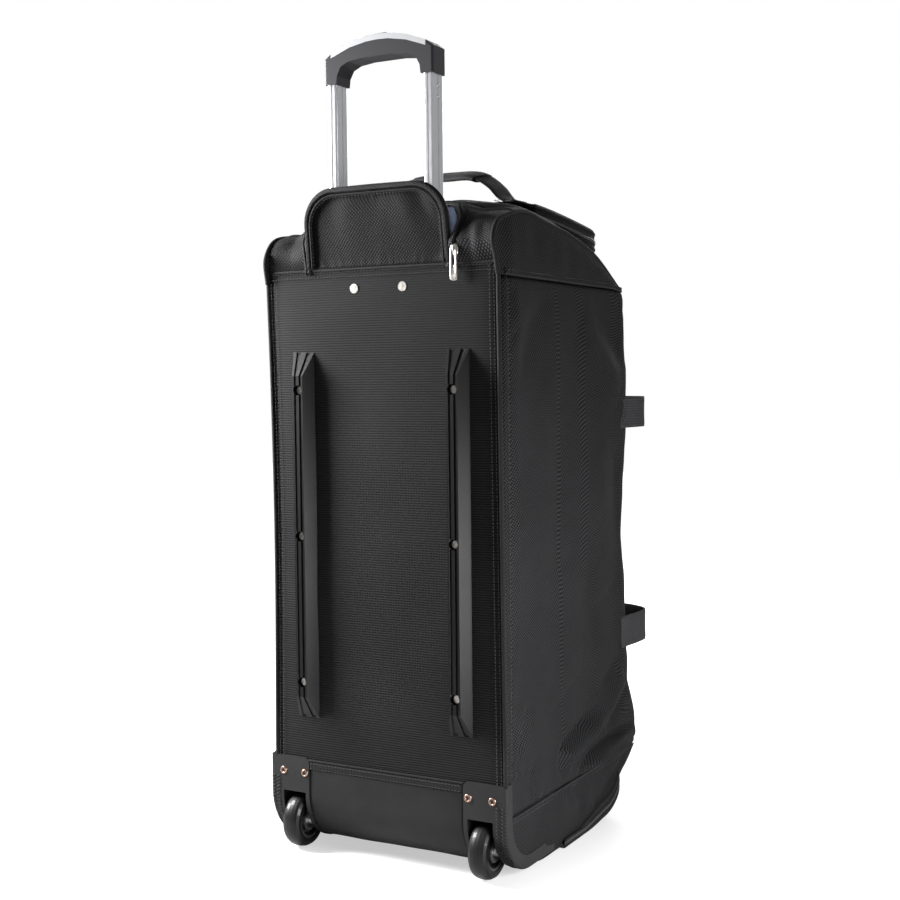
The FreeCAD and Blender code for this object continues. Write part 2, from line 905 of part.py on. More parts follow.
def wheel_housing(side_name, side):
    body = new_body(f"Housing{side_name}")
    name = f"Housing{side_name}"
    start = sided("housing_in_x", side)
    band = new_sketch(body, name + "Band", "YZ_Plane", start)
    corner_profile(band, "housing_wall", "0", "housing_top_z", "skirt_depth - 2")
    pad(body, band, "housing_out_x - housing_in_x", back=side < 0)
    flange = new_sketch(body, name + "Flange", "YZ_Plane", sided("housing_out_x", side))
    corner_profile(flange, "housing_wall", "12", "housing_top_z", "118")
    pad(body, flange, "housing_out_x - body_half - 0.4", back=side > 0)
    outside = mm("housing_out_x") - 0.5

    def rim(p, e):
        back_edge = p.y < 58 and abs(abs(p.x) - outside) < 1
        return back_edge and (along(e, Z_AXIS) or e.Curve.TypeId == "Part::GeomCircle") and (
            p.y < -2 or abs(math.hypot(p.y - 57, p.z - 65) - 59.5) < 0.1
        )

    round_edges(body, "2.2", rim)
    top = mm("housing_top_z") - 1
    inner_edge = mm("housing_in_x")
    round_edges(
        body,
        "7",
        lambda p, e: along(e, Y_AXIS) and p.z > top and abs(abs(p.x) - inner_edge) < 1,
    )
    box_walls = new_sketch(body, name + "Box", "YZ_Plane", sided("window_in_x - 2", side))
    arc = bound_sketch_arc(box_walls, ("corner_radius", "corner_z"), "corner_radius", 180, 270)
    centre_y, centre_z, radius = mm("corner_radius"), mm("corner_z"), mm("corner_radius")
    lid_z = mm("window_top_z") + 2
    spots = [
        FreeCAD.Vector(centre_y - radius, centre_z, 0),
        FreeCAD.Vector(centre_y - radius, lid_z, 0),
        FreeCAD.Vector(centre_y, lid_z, 0),
        FreeCAD.Vector(centre_y, centre_z - radius, 0),
    ]
    up, lid, down = (
        box_walls.addGeometry(Part.LineSegment(spots[i], spots[i + 1])) for i in range(3)
    )
    for a, end_a, b, end_b in ((arc, 1, up, 1), (up, 2, lid, 1), (lid, 2, down, 1), (down, 2, arc, 2)):
        box_walls.addConstraint(Sketcher.Constraint("Coincident", a, end_a, b, end_b))
    box_walls.addConstraint(Sketcher.Constraint("Vertical", up))
    box_walls.addConstraint(Sketcher.Constraint("Horizontal", lid))
    box_walls.addConstraint(Sketcher.Constraint("Vertical", down))
    box_walls.addConstraint(Sketcher.Constraint("Horizontal", arc, 1, arc, 3))
    box_walls.addConstraint(Sketcher.Constraint("Vertical", arc, 2, arc, 3))
    bind(box_walls, "DistanceY", lid, 2, "window_top_z + 2")
    pad(body, box_walls, "window_out_x - window_in_x + 4", back=side < 0)
    window = new_sketch(body, name + "Window", "YZ_Plane", sided("window_in_x", side))
    rectangle(window, "-6", "-2", "corner_radius - 2", "window_top_z")
    pocket(body, window, "window_out_x - window_in_x", back=side > 0)
    bores = new_sketch(body, name + "AxleBore", "YZ_Plane", sided("window_in_x - 3", side))
    circle(bores, "wheel_y", "wheel_r", "axle_r")
    pocket(body, bores, "window_out_x - window_in_x + 6", back=side > 0)
    rivets = new_sketch(body, name + "RivetHoles", "XZ_Plane", "housing_wall + 1")
    for x in ("housing_rivet_in_x", "housing_rivet_out_x"):
        circle(rivets, sided(x, side), "housing_rivet_z", "rivet_r + 0.1")
    pocket(body, rivets, "housing_wall + 2")
    return keep_body(body, f"wheel_housing_{side_name}")



def turned(body, name, side, outline):
    """Turns an outline of (along the axle, out from its centre) points about the axle."""
    sketch = new_sketch(body, name, "XZ_Plane", "-wheel_y")
    x = sided("wheel_x", side)
    polygon(sketch, [(f"{x} + {a}", f"wheel_r + {r}") for a, r in outline])
    centre = mm("wheel_r")
    axis = sketch.addGeometry(
        Part.LineSegment(FreeCAD.Vector(mm(x) - 5, centre, 0), FreeCAD.Vector(mm(x) + 5, centre, 0)),
        True,
    )
    pin_down(sketch, axis, 1, f"{x} - 5", "wheel_r")
    pin_down(sketch, axis, 2, f"{x} + 5", "wheel_r")
    feature = body.newObject("PartDesign::Revolution", name + "Turn")
    feature.Profile = sketch
    feature.ReferenceAxis = (sketch, ["Axis0"])
    feature.Angle = 360
    doc.recompute()
    return feature


def wheel(side_name, side):
    tyre = new_body(f"Tyre{side_name}")
    turned(
        tyre,
        f"Tyre{side_name}Outline",
        side,
        [
            ("-tyre_half", "tyre_bore_r"),
            ("tyre_half", "tyre_bore_r"),
            ("tyre_half", "wheel_r - 5.5"),
            ("tyre_half - 2", "wheel_r - 2.4"),
            ("tyre_half - 5", "wheel_r - 0.7"),
            ("2", "wheel_r"),
            ("-2", "wheel_r"),
            ("-tyre_half + 5", "wheel_r - 0.7"),
            ("-tyre_half + 2", "wheel_r - 2.4"),
            ("-tyre_half", "wheel_r - 5.5"),
        ],
    )
    keep_body(tyre, f"tyre_{side_name}")

    hub = new_body(f"Hub{side_name}")
    seat = "hub_half - bearing_half - bearing_half"
    turned(
        hub,
        f"Hub{side_name}Outline",
        side,
        [
            ("-hub_half", "bearing_r"),
            ("-hub_half + bearing_half + bearing_half", "bearing_r"),
            ("-hub_half + bearing_half + bearing_half", "6"),
            (seat, "6"),
            (seat, "bearing_r"),
            ("hub_half", "bearing_r"),
            ("hub_half", "bearing_r + 2.2"),
            ("2", "bearing_r + 2.2"),
            ("2", "tyre_bore_r - 2.6"),
            ("hub_half", "tyre_bore_r - 2.6"),
            ("hub_half", "tyre_bore_r"),
            ("-hub_half", "tyre_bore_r"),
            ("-hub_half", "tyre_bore_r - 2.6"),
            ("-2", "tyre_bore_r - 2.6"),
            ("-2", "bearing_r + 2.2"),
            ("-hub_half", "bearing_r + 2.2"),
        ],
    )
    gaps = new_sketch(hub, f"Hub{side_name}Gaps", "YZ_Plane", sided("wheel_x", side))
    middle = (mm("bearing_r") + 2.2 + mm("tyre_bore_r") - 2.6) / 2
    for turn in range(6):
        angle = math.radians(60 * turn + 30)
        y, z = middle * math.cos(angle), middle * math.sin(angle)
        circle(gaps, f"wheel_y + {y:.3f}", f"wheel_r + {z:.3f}", "2.5")
    pocket(hub, gaps, "5", both=True)
    keep_body(hub, f"hub_{side_name}")

    rings = []
    for place, start in (("In", "-hub_half"), ("Out", seat)):
        centre = (f"{sided('wheel_x', side)} + {start}", "wheel_y", "wheel_r")
        length = "bearing_half + bearing_half"
        name = f"Bearing{side_name}{place}"
        outside = cylinder(name + "Race", centre, "bearing_r", length, X_AXIS)
        inside = cylinder(name + "Bore", centre, "bearing_bore_r", length, X_AXIS)
        rings.append(cut(name, outside, inside))
    keep_body(group(f"Bearings{side_name}", rings), f"bearings_{side_name}")

    inner_x, outer_x = sorted(
        (sided("window_in_x", side), sided("window_out_x", side)), key=mm
    )
    pin = cylinder(
        f"Axle{side_name}Pin",
        (f"{inner_x} - 2", "wheel_y", "wheel_r"),
        "axle_r",
        "window_out_x - window_in_x + 4",
        X_AXIS,
    )
    gap = "wheel_x - hub_half - window_in_x - 0.25"
    near = cylinder(f"Axle{side_name}Near", (inner_x, "wheel_y", "wheel_r"), "5.8", gap, X_AXIS)
    far = cylinder(
        f"Axle{side_name}Far", (f"{outer_x} - {mm(gap)}", "wheel_y", "wheel_r"), "5.8", gap, X_AXIS
    )
    keep_body(fuse(f"Axle{side_name}", [pin, near, far]), f"axle_{side_name}")


# ---------------------------------------------------------------- telescoping handle
def tube(side_name, side):
    body = new_body(f"Tube{side_name}")
    x = sided("tube_x", side)
    sketch = new_sketch(body, f"Tube{side_name}Outer", "XY_Plane", "tube_low_z")
    around_tube(sketch, x, "tube_wide/2", "tube_deep/2")
    pad(body, sketch, "tube_top_z - tube_low_z")
    round_edges(body, "2.4", lambda p, e: along(e, Z_AXIS))
    grooves = new_sketch(body, f"Tube{side_name}Grooves", "XY_Plane", "tube_top_z")
    rectangle(grooves, f"{x} - 1", "tube_y - tube_deep/2 - 1", f"{x} + 1", "tube_y - tube_deep/2 + 0.5")
    for edge in (-1, 1):
        face = f"{x} + {edge * mm('tube_wide') / 2:g}"
        rectangle(grooves, f"{face} - 0.5", "tube_y - 1", f"{face} + 0.5", "tube_y + 1")
    pocket(body, grooves, "tube_top_z - tube_low_z")
    bore = new_sketch(body, f"Tube{side_name}Bore", "XY_Plane", "tube_top_z")
    around_tube(bore, x, "tube_wide/2 - tube_wall", "tube_deep/2 - tube_wall")
    pocket(body, bore, "tube_top_z - tube_low_z")
    return keep_body(body, f"tube_{side_name}")


def tube_foot(side_name, side):
    """The plastic shoe at a tube's lower end, which runs in the sleeve and holds the pin."""
    body = new_body(f"Foot{side_name}")
    x = sided("tube_x", side)
    shoe = new_sketch(body, f"Foot{side_name}Shoe", "XY_Plane", "tube_foot_z")
    around_tube(
        shoe, x, "sleeve_wide/2 - tube_wall - 0.05", "sleeve_deep/2 - tube_wall - 0.05"
    )
    pad(body, shoe, "tube_low_z - tube_foot_z")
    plug = new_sketch(body, f"Foot{side_name}Plug", "XY_Plane", "tube_low_z")
    around_tube(plug, x, "tube_wide/2 - tube_wall", "tube_deep/2 - tube_wall")
    pad(body, plug, "14")
    rod = new_sketch(body, f"Foot{side_name}RodHole", "XY_Plane", "tube_low_z + 14")
    circle(rod, x, "tube_y", "1.9")
    pocket(body, rod, "tube_low_z + 14 - pin_z")
    seat = new_sketch(body, f"Foot{side_name}PinHole", "YZ_Plane", f"{x} + {side * 20}")
    circle(seat, "tube_y", "pin_z", "pin_r + 0.05")
    pocket(body, seat, "20 + 5", back=side < 0)
    return keep_body(body, f"tube_foot_{side_name}")


def arch(rise, drop=0):
    """The grip's upper outline from end to end, moved down by drop."""
    stations = [(1.0, 0.0), (0.87, 0.33), (0.52, 0.77), (0.2, 0.97)]
    right = [
        (f"{share * mm('grip_half'):.2f}", f"grip_crown_z - {rise * (1 - lift) + drop:.2f}")
        for share, lift in stations
    ]
    left = [(f"-{x}", z) for x, z in right]
    return left + [("0", f"grip_crown_z - {drop:g}")] + right[::-1]


def grip():
    body = new_body("Grip")
    sketch = new_sketch(body, "GripOutline", "XZ_Plane", "-tube_y + grip_deep/2")
    underside = [
        ("grip_leg_in", "grip_low_z"),
        ("grip_leg_in - 1", "grip_low_z + 9"),
        ("grip_leg_in - 6", "grip_low_z + 18"),
        ("grip_leg_in - 16", "grip_low_z + 22.5"),
        ("grip_leg_in - 34", "grip_low_z + 24.5"),
    ]
    other = [(mirrored(x), z) for x, z in underside]
    polygon(
        sketch,
        [("-grip_half", "grip_low_z")]
        + arch(20)
        + [("grip_half", "grip_low_z")]
        + underside
        + other[::-1],
    )
    pad(body, sketch, "grip_deep", back=True)
    outside = mm("grip_half")
    round_edges(
        body,
        "2.5",
        lambda p, e: not along(e, Y_AXIS)
        and p.z > mm("grip_low_z") + 1
        and (p.z > 896.5 or abs(p.x) > outside - 1),
    )
    sockets = new_sketch(body, "GripSockets", "XY_Plane", "tube_top_z")
    for side in SIDES.values():
        around_tube(sockets, sided("tube_x", side), "tube_wide/2", "tube_deep/2")
    pocket(body, sockets, "tube_top_z - grip_low_z + 1")
    channel = new_sketch(body, "GripChannel", "XZ_Plane", "-tube_y + 4.4")
    polygon(
        channel,
        [
            ("-64.6", "tube_top_z - 1"),
            ("-64.6", "893.6"),
            ("-45", "902.4"),
            ("-5", "910.3"),
            ("5", "910.3"),
            ("45", "902.4"),
            ("64.6", "893.6"),
            ("64.6", "tube_top_z - 1"),
            ("58.4", "tube_top_z - 1"),
            ("45", "892.4"),
            ("0", "900"),
            ("-45", "892.4"),
            ("-58.4", "tube_top_z - 1"),
        ],
    )
    pocket(body, channel, "8.8")
    opening = new_sketch(body, "GripButtonHole", "XY_Plane", "grip_crown_z + 2")
    rectangle(
        opening,
        "-button_half - 0.1",
        "tube_y - button_half - 0.1",
        "button_half + 0.1",
        "tube_y + button_half + 0.1",
    )
    pocket(body, opening, "grip_crown_z + 2 - 902")
    notch = new_sketch(body, "GripTrimSeat", "XZ_Plane", "-tube_y + grip_deep/2 + 1")
    polygon(notch, trim_outline(3))
    pocket(body, notch, "5.9")
    return keep_body(body, "grip")


def trim_outline(above):
    """A strip that follows the arch, 6 mm down from it and so much above."""
    lower = arch(20, 6)[1:-1]
    upper = arch(20, -above)[1:-1]
    return lower + upper[::-1]


def grip_trim():
    body = new_body("GripTrim")
    sketch = new_sketch(body, "TrimOutline", "XZ_Plane", "-tube_y + grip_deep/2 + 0.2")
    polygon(sketch, trim_outline(0.1))
    pad(body, sketch, "5", back=True)
    return keep_body(body, "grip_trim")


def release():
    button = new_body("ReleaseButton")
    sketch = new_sketch(button, "ButtonPlan", "XY_Plane", "909.5")
    rectangle(
        sketch, "-button_half", "tube_y - button_half", "button_half", "tube_y + button_half"
    )
    pad(button, sketch, "grip_crown_z + 2.2 - 909.5")
    round_edges(button, "2", lambda p, e: along(e, Z_AXIS) or p.z > mm("grip_crown_z") + 2)
    keep_body(button, "release_button")

    bar = new_body("ReleaseBar")
    sketch = new_sketch(bar, "BarOutline", "XZ_Plane", "-tube_y + 4")
    polygon(
        sketch,
        [
            ("-64", "889"),
            ("-45", "898"),
            ("-4", "905.5"),
            ("4", "905.5"),
            ("45", "898"),
            ("64", "889"),
            ("64", "893"),
            ("45", "902"),
            ("4", "909.5"),
            ("-4", "909.5"),
            ("-45", "902"),
            ("-64", "893"),
        ],
    )
    pad(bar, sketch, "8", back=True)
    keep_body(bar, "release_bar")

    rods = [
        cylinder(
            f"PullRod{side_name}",
            (sided("tube_x", side), "tube_y", "pin_z + 9"),
            "1.5",
            "889.6 - pin_z - 9",
            Z_AXIS,
        )
        for side_name, side in SIDES.items()
    ]
    keep_body(group("PullRods", rods), "pull_rods")
    for side_name, side in SIDES.items():
        nose = "sleeve_wide/2 - tube_wall - 0.1"
        x = f"{sided('tube_x', side)} + {side * mm(nose):.2f}"
        start = x if side < 0 else f"{x} - 8"
        pin = cylinder(f"LockPin{side_name}", (start, "tube_y", "pin_z"), "pin_r", "8", X_AXIS)
        keep_body(group(f"LockPinNode{side_name}", [pin]), f"lock_pin_{side_name}")


# ---------------------------------------------------------------- flap over the handle
def u_plate(name, inset, thick):
    """The flap's outline, drawn from its hinge line upwards and inset on three sides."""
    body = new_body(name)
    sketch = new_sketch(body, name + "Outline", "XZ_Plane", thick)
    rectangle(
        sketch, f"-flap_half + {inset}", "0", f"flap_half - {inset}", f"flap_high - {inset}"
    )
    pad(body, sketch, thick, back=True)
    high = mm("flap_high") - mm(inset)
    round_edges(
        body, f"flap_round - {inset}", lambda p, e: along(e, Y_AXIS) and p.z > high - 1
    )
    return body


def on_hinge(obj, label):
    """Stands a piece drawn from the hinge line on it, leaning out from the back."""
    obj.Placement = FreeCAD.Placement(
        FreeCAD.Vector(0, mm("back_y"), mm("seam_z") + 1),
        FreeCAD.Rotation(X_AXIS, mm("flap_lean")),
    )
    obj.setExpression("Placement.Base.y", "Sheet.back_y")
    obj.setExpression("Placement.Base.z", formula("seam_z + 1"))
    obj.setExpression("Placement.Rotation.Angle", formula("flap_lean"))
    obj.Label = label
    NODES.append(obj)


def flap():
    on_hinge(u_plate("Flap", "binding", "flap_thick"), "trolley_flap")
    rim = u_plate("FlapRim", "0", "flap_thick + 1")
    inside = u_plate("FlapHole", "binding", "flap_thick + 1")
    on_hinge(cut("FlapBinding", rim, inside), "flap_binding")


# ---------------------------------------------------------------- zip sliders
def zip_slider(label, name, centre, size):
    """A slider's body: a small block with its long edges rounded."""
    (x, y, z), (wide, deep, high) = centre, size
    body = new_body(name)
    sketch = new_sketch(body, name + "Outline", "XZ_Plane", f"0 - {mm(y)} + {deep}/2")
    rectangle(sketch, f"{x} - {wide}/2", f"{z} - {high}/2", f"{x} + {wide}/2", f"{z} + {high}/2")
    pad(body, sketch, deep, back=True)
    round_edges(body, "1.2", lambda p, e: along(e, Y_AXIS))
    return keep_body(body, label)


def zip_pull(label, name, x, y, top_z, long, outward):
    """A flat slotted pull that hangs from its slider: outward is the side it faces."""
    body = new_body(name)
    sketch = new_sketch(body, name + "Outline", "XZ_Plane", f"0 - {mm(y)}")
    polygon(
        sketch,
        [
            (f"{x} - 2.4", top_z),
            (f"{x} - 3.6", f"{top_z} - {long}"),
            (f"{x} + 3.6", f"{top_z} - {long}"),
            (f"{x} + 2.4", top_z),
        ],
    )
    pad(body, sketch, "1.4", back=outward > 0)
    slot = new_sketch(body, name + "Slot", "XZ_Plane", f"0 - {mm(y)} + 3")
    rectangle(slot, f"{x} - 1.3", f"{top_z} - {long} + 3", f"{x} + 1.3", f"{top_z} - {long}/2")
    pocket(body, slot, "6")
    return keep_body(body, label)


# ---------------------------------------------------------------- webbing
def ribbon(path, thick):
    """The two faces of a strap along a path of (x, y) sums, its second face to the left."""
    spots = [FreeCAD.Vector(mm(x), mm(y), 0) for x, y in path]
    shifted = []
    for i, (x, y) in enumerate(path):
        before = spots[i] - spots[i - 1] if i else spots[1] - spots[0]
        after = spots[i + 1] - spots[i] if i + 1 < len(spots) else before
        before.normalize()
        after.normalize()
        way = before + after
        way.normalize()
        reach = mm(thick) / max(way.dot(after), 0.5)
        shifted.append((f"{x} + {-way.y * reach:.3f}", f"{y} + {way.x * reach:.3f}"))
    return path + shifted[::-1]


def carry_handle(side_name, side):
    """Two legs sewn beside the front and the long run that joins them at the middle."""
    name = f"Carry{side_name}"
    legs = []
    plan = [
        ("body_half + 0.3", "side_depth - 20"),
        ("body_half + 0.5", "side_depth"),
        ("body_half + 4", "side_depth + 28"),
        ("body_half", "side_depth + 64"),
        ("body_half - 28", "strap_front_y - 6"),
        ("94", "strap_front_y"),
        ("78", "strap_front_y"),
    ]
    outline = ribbon(plan, "-webbing_thick")
    if side < 0:
        outline = [(mirrored(x), y) for x, y in outline]
    for level in (-1, 1):
        body = new_body(f"{name}Leg{'Low' if level < 0 else 'High'}")
        middle = f"strap_mid_z {'-' if level < 0 else '+'} strap_z"
        sketch = new_sketch(body, body.Name + "Plan", "XY_Plane", f"{middle} - webbing/2")
        polygon(sketch, outline)
        pad(body, sketch, "webbing")
        legs.append(body)
    run = new_body(f"{name}Run")
    sketch = new_sketch(run, f"{name}RunOutline", "XZ_Plane", "-strap_front_y - webbing_thick")
    low, high = "strap_mid_z - strap_z", "strap_mid_z + strap_z"
    corners = [
        ("86", f"{low} - webbing/2"),
        ("86", f"{low} + webbing/2"),
        ("52", f"{low} + webbing/2 + 6"),
        ("22", f"{low} + webbing/2 + 52"),
        ("22", f"{high} - webbing/2 - 52"),
        ("52", f"{high} - webbing/2 - 6"),
        ("86", f"{high} - webbing/2"),
        ("86", f"{high} + webbing/2"),
        ("36", f"{high} + webbing/2 - 6"),
        ("0.4", f"{high} - webbing/2 - 26"),
        ("0.4", f"{low} + webbing/2 + 26"),
        ("36", f"{low} - webbing/2 + 6"),
    ]
    polygon(sketch, [(sided(x, side), z) for x, z in corners])
    pad(run, sketch, "webbing_thick")
    keep_body(fuse(name, legs + [run]), f"carry_handle_{side_name}")


def carry_grip():
    """The wrap that closes round both carry handles."""
    low, high = "strap_mid_z - 62", "strap_mid_z + 62"
    body = new_body("CarryGrip")
    sketch = new_sketch(body, "WrapPlan", "XY_Plane", low)
    rectangle(sketch, "-25.5", "strap_front_y - 4", "25.5", "strap_front_y + webbing_thick + 4")
    pad(body, sketch, span(low, high))
    round_edges(body, "3", lambda p, e: along(e, Z_AXIS))
    slot = new_sketch(body, "WrapSlot", "XY_Plane", high)
    rectangle(slot, "-22.3", "strap_front_y - 0.2", "22.3", "strap_front_y + webbing_thick + 0.2")
    pocket(body, slot, "124")
    return keep_body(body, "carry_grip")


def top_handle():
    body = new_body("TopStrap")
    sketch = new_sketch(body, "TopStrapOutline", "XZ_Plane", "-top_strap_y + webbing/2")
    path = [
        ("-top_strap_half - 14", "top_strap_foot_z"),
        ("-top_strap_half", "top_strap_foot_z"),
        ("-84", "top_strap_foot_z + 4"),
        ("-40", "top_strap_foot_z + 25"),
        ("-12", "top_strap_foot_z + top_strap_high - 2"),
        ("20", "top_strap_foot_z + top_strap_high"),
        ("66", "top_strap_foot_z + top_strap_high - 1"),
        ("86", "top_strap_foot_z + 26"),
        ("96", "top_strap_foot_z + 6"),
        ("top_strap_half + 4", "top_strap_foot_z"),
        ("top_strap_half + 14", "top_strap_foot_z"),
    ]
    polygon(sketch, ribbon(path, "webbing_thick"))
    pad(body, sketch, "webbing", back=True)
    keep_body(body, "top_handle_strap")

    wrap = new_body("TopWrap")
    sketch = new_sketch(wrap, "TopWrapOutline", "XZ_Plane", "-top_strap_y + webbing/2 + 1.5")
    held = path[4:7]
    outside = ribbon([(x, f"{z} - 1.6") for x, z in held], "webbing_thick + 3.2")
    polygon(sketch, outside)
    pad(wrap, sketch, "webbing + 3", back=True)
    inside = new_sketch(wrap, "TopWrapSlot", "XZ_Plane", "-top_strap_y + webbing/2")
    whole_strap = ribbon(path, "webbing_thick")
    polygon(inside, whole_strap[4:7] + whole_strap[-7:-4])
    pocket(wrap, inside, "webbing")
    keep_body(wrap, "top_handle_wrap")

    tabs = []
    for side_name, side in SIDES.items():
        x0, x1 = sorted(
            (sided("top_strap_half - 8", side), sided("top_strap_half + 20", side)), key=mm
        )
        block = box(
            f"Tab{side_name}Block",
            (x0, "top_strap_y - webbing/2 - 2", "700"),
            (x1, "top_strap_y + webbing/2 - 3", "top_strap_foot_z - 0.3"),
        )
        tabs.append(cut(f"Tab{side_name}", block, outer))
    keep_body(group("TopTabs", tabs), "top_handle_tabs")


back_panel()
base_board()
side_piping()
main_zip()
end_pockets()
well_lining()
sleeves()
crossbar(
    "lower_bracket", "Bracket", "bracket_low_z", "bracket_low_z + bracket_high",
    "sleeve_low_z", "bracket_low_z + bracket_high",
)
crossbar(
    "upper_bezel", "Bezel", "bezel_low_z", "bezel_low_z + bezel_high",
    "bezel_low_z", "sleeve_top_z",
)
back_fasteners()
for side_name, side in SIDES.items():
    skid_rail(side_name, side)
    wheel_housing(side_name, side)
    wheel(side_name, side)
    tube(side_name, side)
    tube_foot(side_name, side)
    carry_handle(side_name, side)
grip()
grip_trim()
release()
flap()
carry_grip()
top_handle()

zip_slider("flap_slider", "FlapSlider", ("98", "-3.6", "680"), ("8.6", "5", "13"))
zip_pull("flap_pull", "FlapPull", "98", "-6.4", "684", "38", -1)
zip_slider("main_slider", "MainSlider", ("0", "front_y + 4", "585"), ("9", "5", "13"))
zip_pull("main_pull", "MainPull", "0", "front_y + 6.8", "587", "32", 1)
zip_slider(
    "top_pocket_slider", "TopSlider", ("40", "pocket_front_y + 4.2", "pocket_zip_z"), ("12", "5", "8")
)
zip_pull("top_pocket_pull", "TopPull", "40", "pocket_front_y + 7", "pocket_zip_z + 2", "26", 1)
zip_slider(
    "bottom_pocket_slider", "FootSlider", ("40", "foot_front_y + 4.2", "foot_zip_z + 4"), ("12", "5", "8")
)
zip_pull("bottom_pocket_pull", "FootPull", "40", "foot_front_y + 7", "foot_zip_z + 6", "14", 1)

doc.recompute()


def check_document():
    """Stops if any object failed or any node is empty or broken."""
    for obj in doc.Objects:
        if "Invalid" in obj.State or "Error" in obj.State:
            raise RuntimeError(f"{obj.Label} is {obj.State}")
    for node in NODES:
        if node.Shape.isNull() or not node.Shape.isValid() or node.Shape.Volume < 1:
            raise RuntimeError(f"{node.Label} has no sound shape")


def write_parts():
    os.makedirs(OUT, exist_ok=True)
    for node in NODES:
        node.Shape.exportStep(os.path.join(OUT, node.Label + ".step"))


check_document()
write_parts()
whole = FreeCAD.BoundBox()
for node in NODES:
    whole.add(node.Shape.BoundBox)
print(len(NODES), "nodes", whole)
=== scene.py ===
import math

import bpy
import numpy as np
from mathutils import Matrix, Vector


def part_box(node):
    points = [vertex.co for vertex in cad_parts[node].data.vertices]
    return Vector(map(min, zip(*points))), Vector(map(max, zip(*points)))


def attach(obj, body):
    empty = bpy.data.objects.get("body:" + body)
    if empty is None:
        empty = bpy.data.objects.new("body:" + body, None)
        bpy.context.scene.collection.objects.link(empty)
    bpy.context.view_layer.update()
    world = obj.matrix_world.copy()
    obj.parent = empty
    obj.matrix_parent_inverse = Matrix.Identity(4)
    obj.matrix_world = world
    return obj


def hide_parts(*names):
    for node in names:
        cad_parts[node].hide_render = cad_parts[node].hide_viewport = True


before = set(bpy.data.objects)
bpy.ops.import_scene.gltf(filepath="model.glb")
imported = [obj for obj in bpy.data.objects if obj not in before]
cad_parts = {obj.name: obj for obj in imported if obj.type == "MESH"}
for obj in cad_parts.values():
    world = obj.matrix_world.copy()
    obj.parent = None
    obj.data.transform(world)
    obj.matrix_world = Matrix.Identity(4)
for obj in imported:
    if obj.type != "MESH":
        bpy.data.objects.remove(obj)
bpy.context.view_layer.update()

# Everything below is drawn in millimetres, with Y = 0 on the outer face of the back panel and
# Z = 0 on the floor, and place() turns that into the frame's metres.
BACK_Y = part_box("back_panel")[0].y * 1000


def node_box(node):
    """A CAD node's two corners in the drawing's millimetres."""
    low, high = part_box(node)
    move = np.array([0, BACK_Y, 0])
    return np.array(low) * 1000 - move, np.array(high) * 1000 - move


SEAM_Z = node_box("back_panel")[1][2]
SKIRT_Z = node_box("back_panel")[0][2]
TOP_SEAM_Z = node_box("side_panel_right")[1][2]
LOW_SEAM_Z = node_box("side_panel_right")[0][2]
BODY_HALF = node_box("side_panel_right")[1][0]
FLAP_HALF = node_box("flap_binding")[1][0]
# The arc that the wheel housings and the skirt turn under the bag on: its radius and its height.
HOUSING_ARC = 57.0
HOUSING_ARC_Z = 65.0


def place(points):
    """Drawing millimetres to frame metres."""
    out = np.array(points, float)
    out[..., 1] += BACK_Y
    return out / 1000


# ------------------------------------------------------------------ curves and noise
def smoothstep(t):
    t = np.clip(t, 0, 1)
    return t * t * (3 - 2 * t)


def curve(stations):
    """A smooth function through (x, value) stations, with no overshoot at its ends."""
    xs, ys = np.array(stations, float).T
    slopes = np.gradient(ys, xs)

    def at(x):
        x = np.clip(np.asarray(x, float), xs[0], xs[-1])
        i = np.clip(np.searchsorted(xs, x) - 1, 0, len(xs) - 2)
        span = xs[i + 1] - xs[i]
        t = (x - xs[i]) / span
        a, b = ys[i], ys[i + 1]
        ma, mb = slopes[i] * span, slopes[i + 1] * span
        return (
            (2 * t**3 - 3 * t**2 + 1) * a
            + (t**3 - 2 * t**2 + t) * ma
            + (3 * t**2 - 2 * t**3) * b
            + (t**3 - t**2) * mb
        )

    return at


def spline(points, count):
    """Evenly spaced points on a smooth curve through the given ones."""
    points = np.array(points, float)
    reach = walk(points)
    parts = [curve(np.stack([reach, points[:, k]], 1)) for k in range(points.shape[1])]
    fine = np.linspace(0, reach[-1], count * 4)
    dense = np.stack([part(fine) for part in parts], 1)
    walked = walk(dense)
    even = np.linspace(0, walked[-1], count)
    return np.stack([np.interp(even, walked, dense[:, k]) for k in range(points.shape[1])], 1)


def ripples(seed, count, shortest, longest):
    """A smooth repeatable noise of two lengths, about -1 to 1."""
    rng = np.random.default_rng(seed)
    length = rng.uniform(shortest, longest, count)
    way = rng.uniform(0, 2 * math.pi, count)
    phase = rng.uniform(0, 2 * math.pi, count)
    k = 2 * math.pi / length

    def at(a, b):
        total = 0
        for i in range(count):
            total = total + np.sin(k[i] * (np.cos(way[i]) * a + np.sin(way[i]) * b) + phase[i])
        return total / math.sqrt(count) / 1.4

    return at


def crease(a, b, start, end, width, height):
    """A ridge (or a valley, with a negative height) along a line from start to end."""
    (a0, b0), (a1, b1) = start, end
    da, db = a1 - a0, b1 - b0
    t = np.clip(((a - a0) * da + (b - b0) * db) / (da * da + db * db), 0, 1)
    away = np.hypot(a - a0 - t * da, b - b0 - t * db)
    return height * np.exp(-((away / width) ** 2))


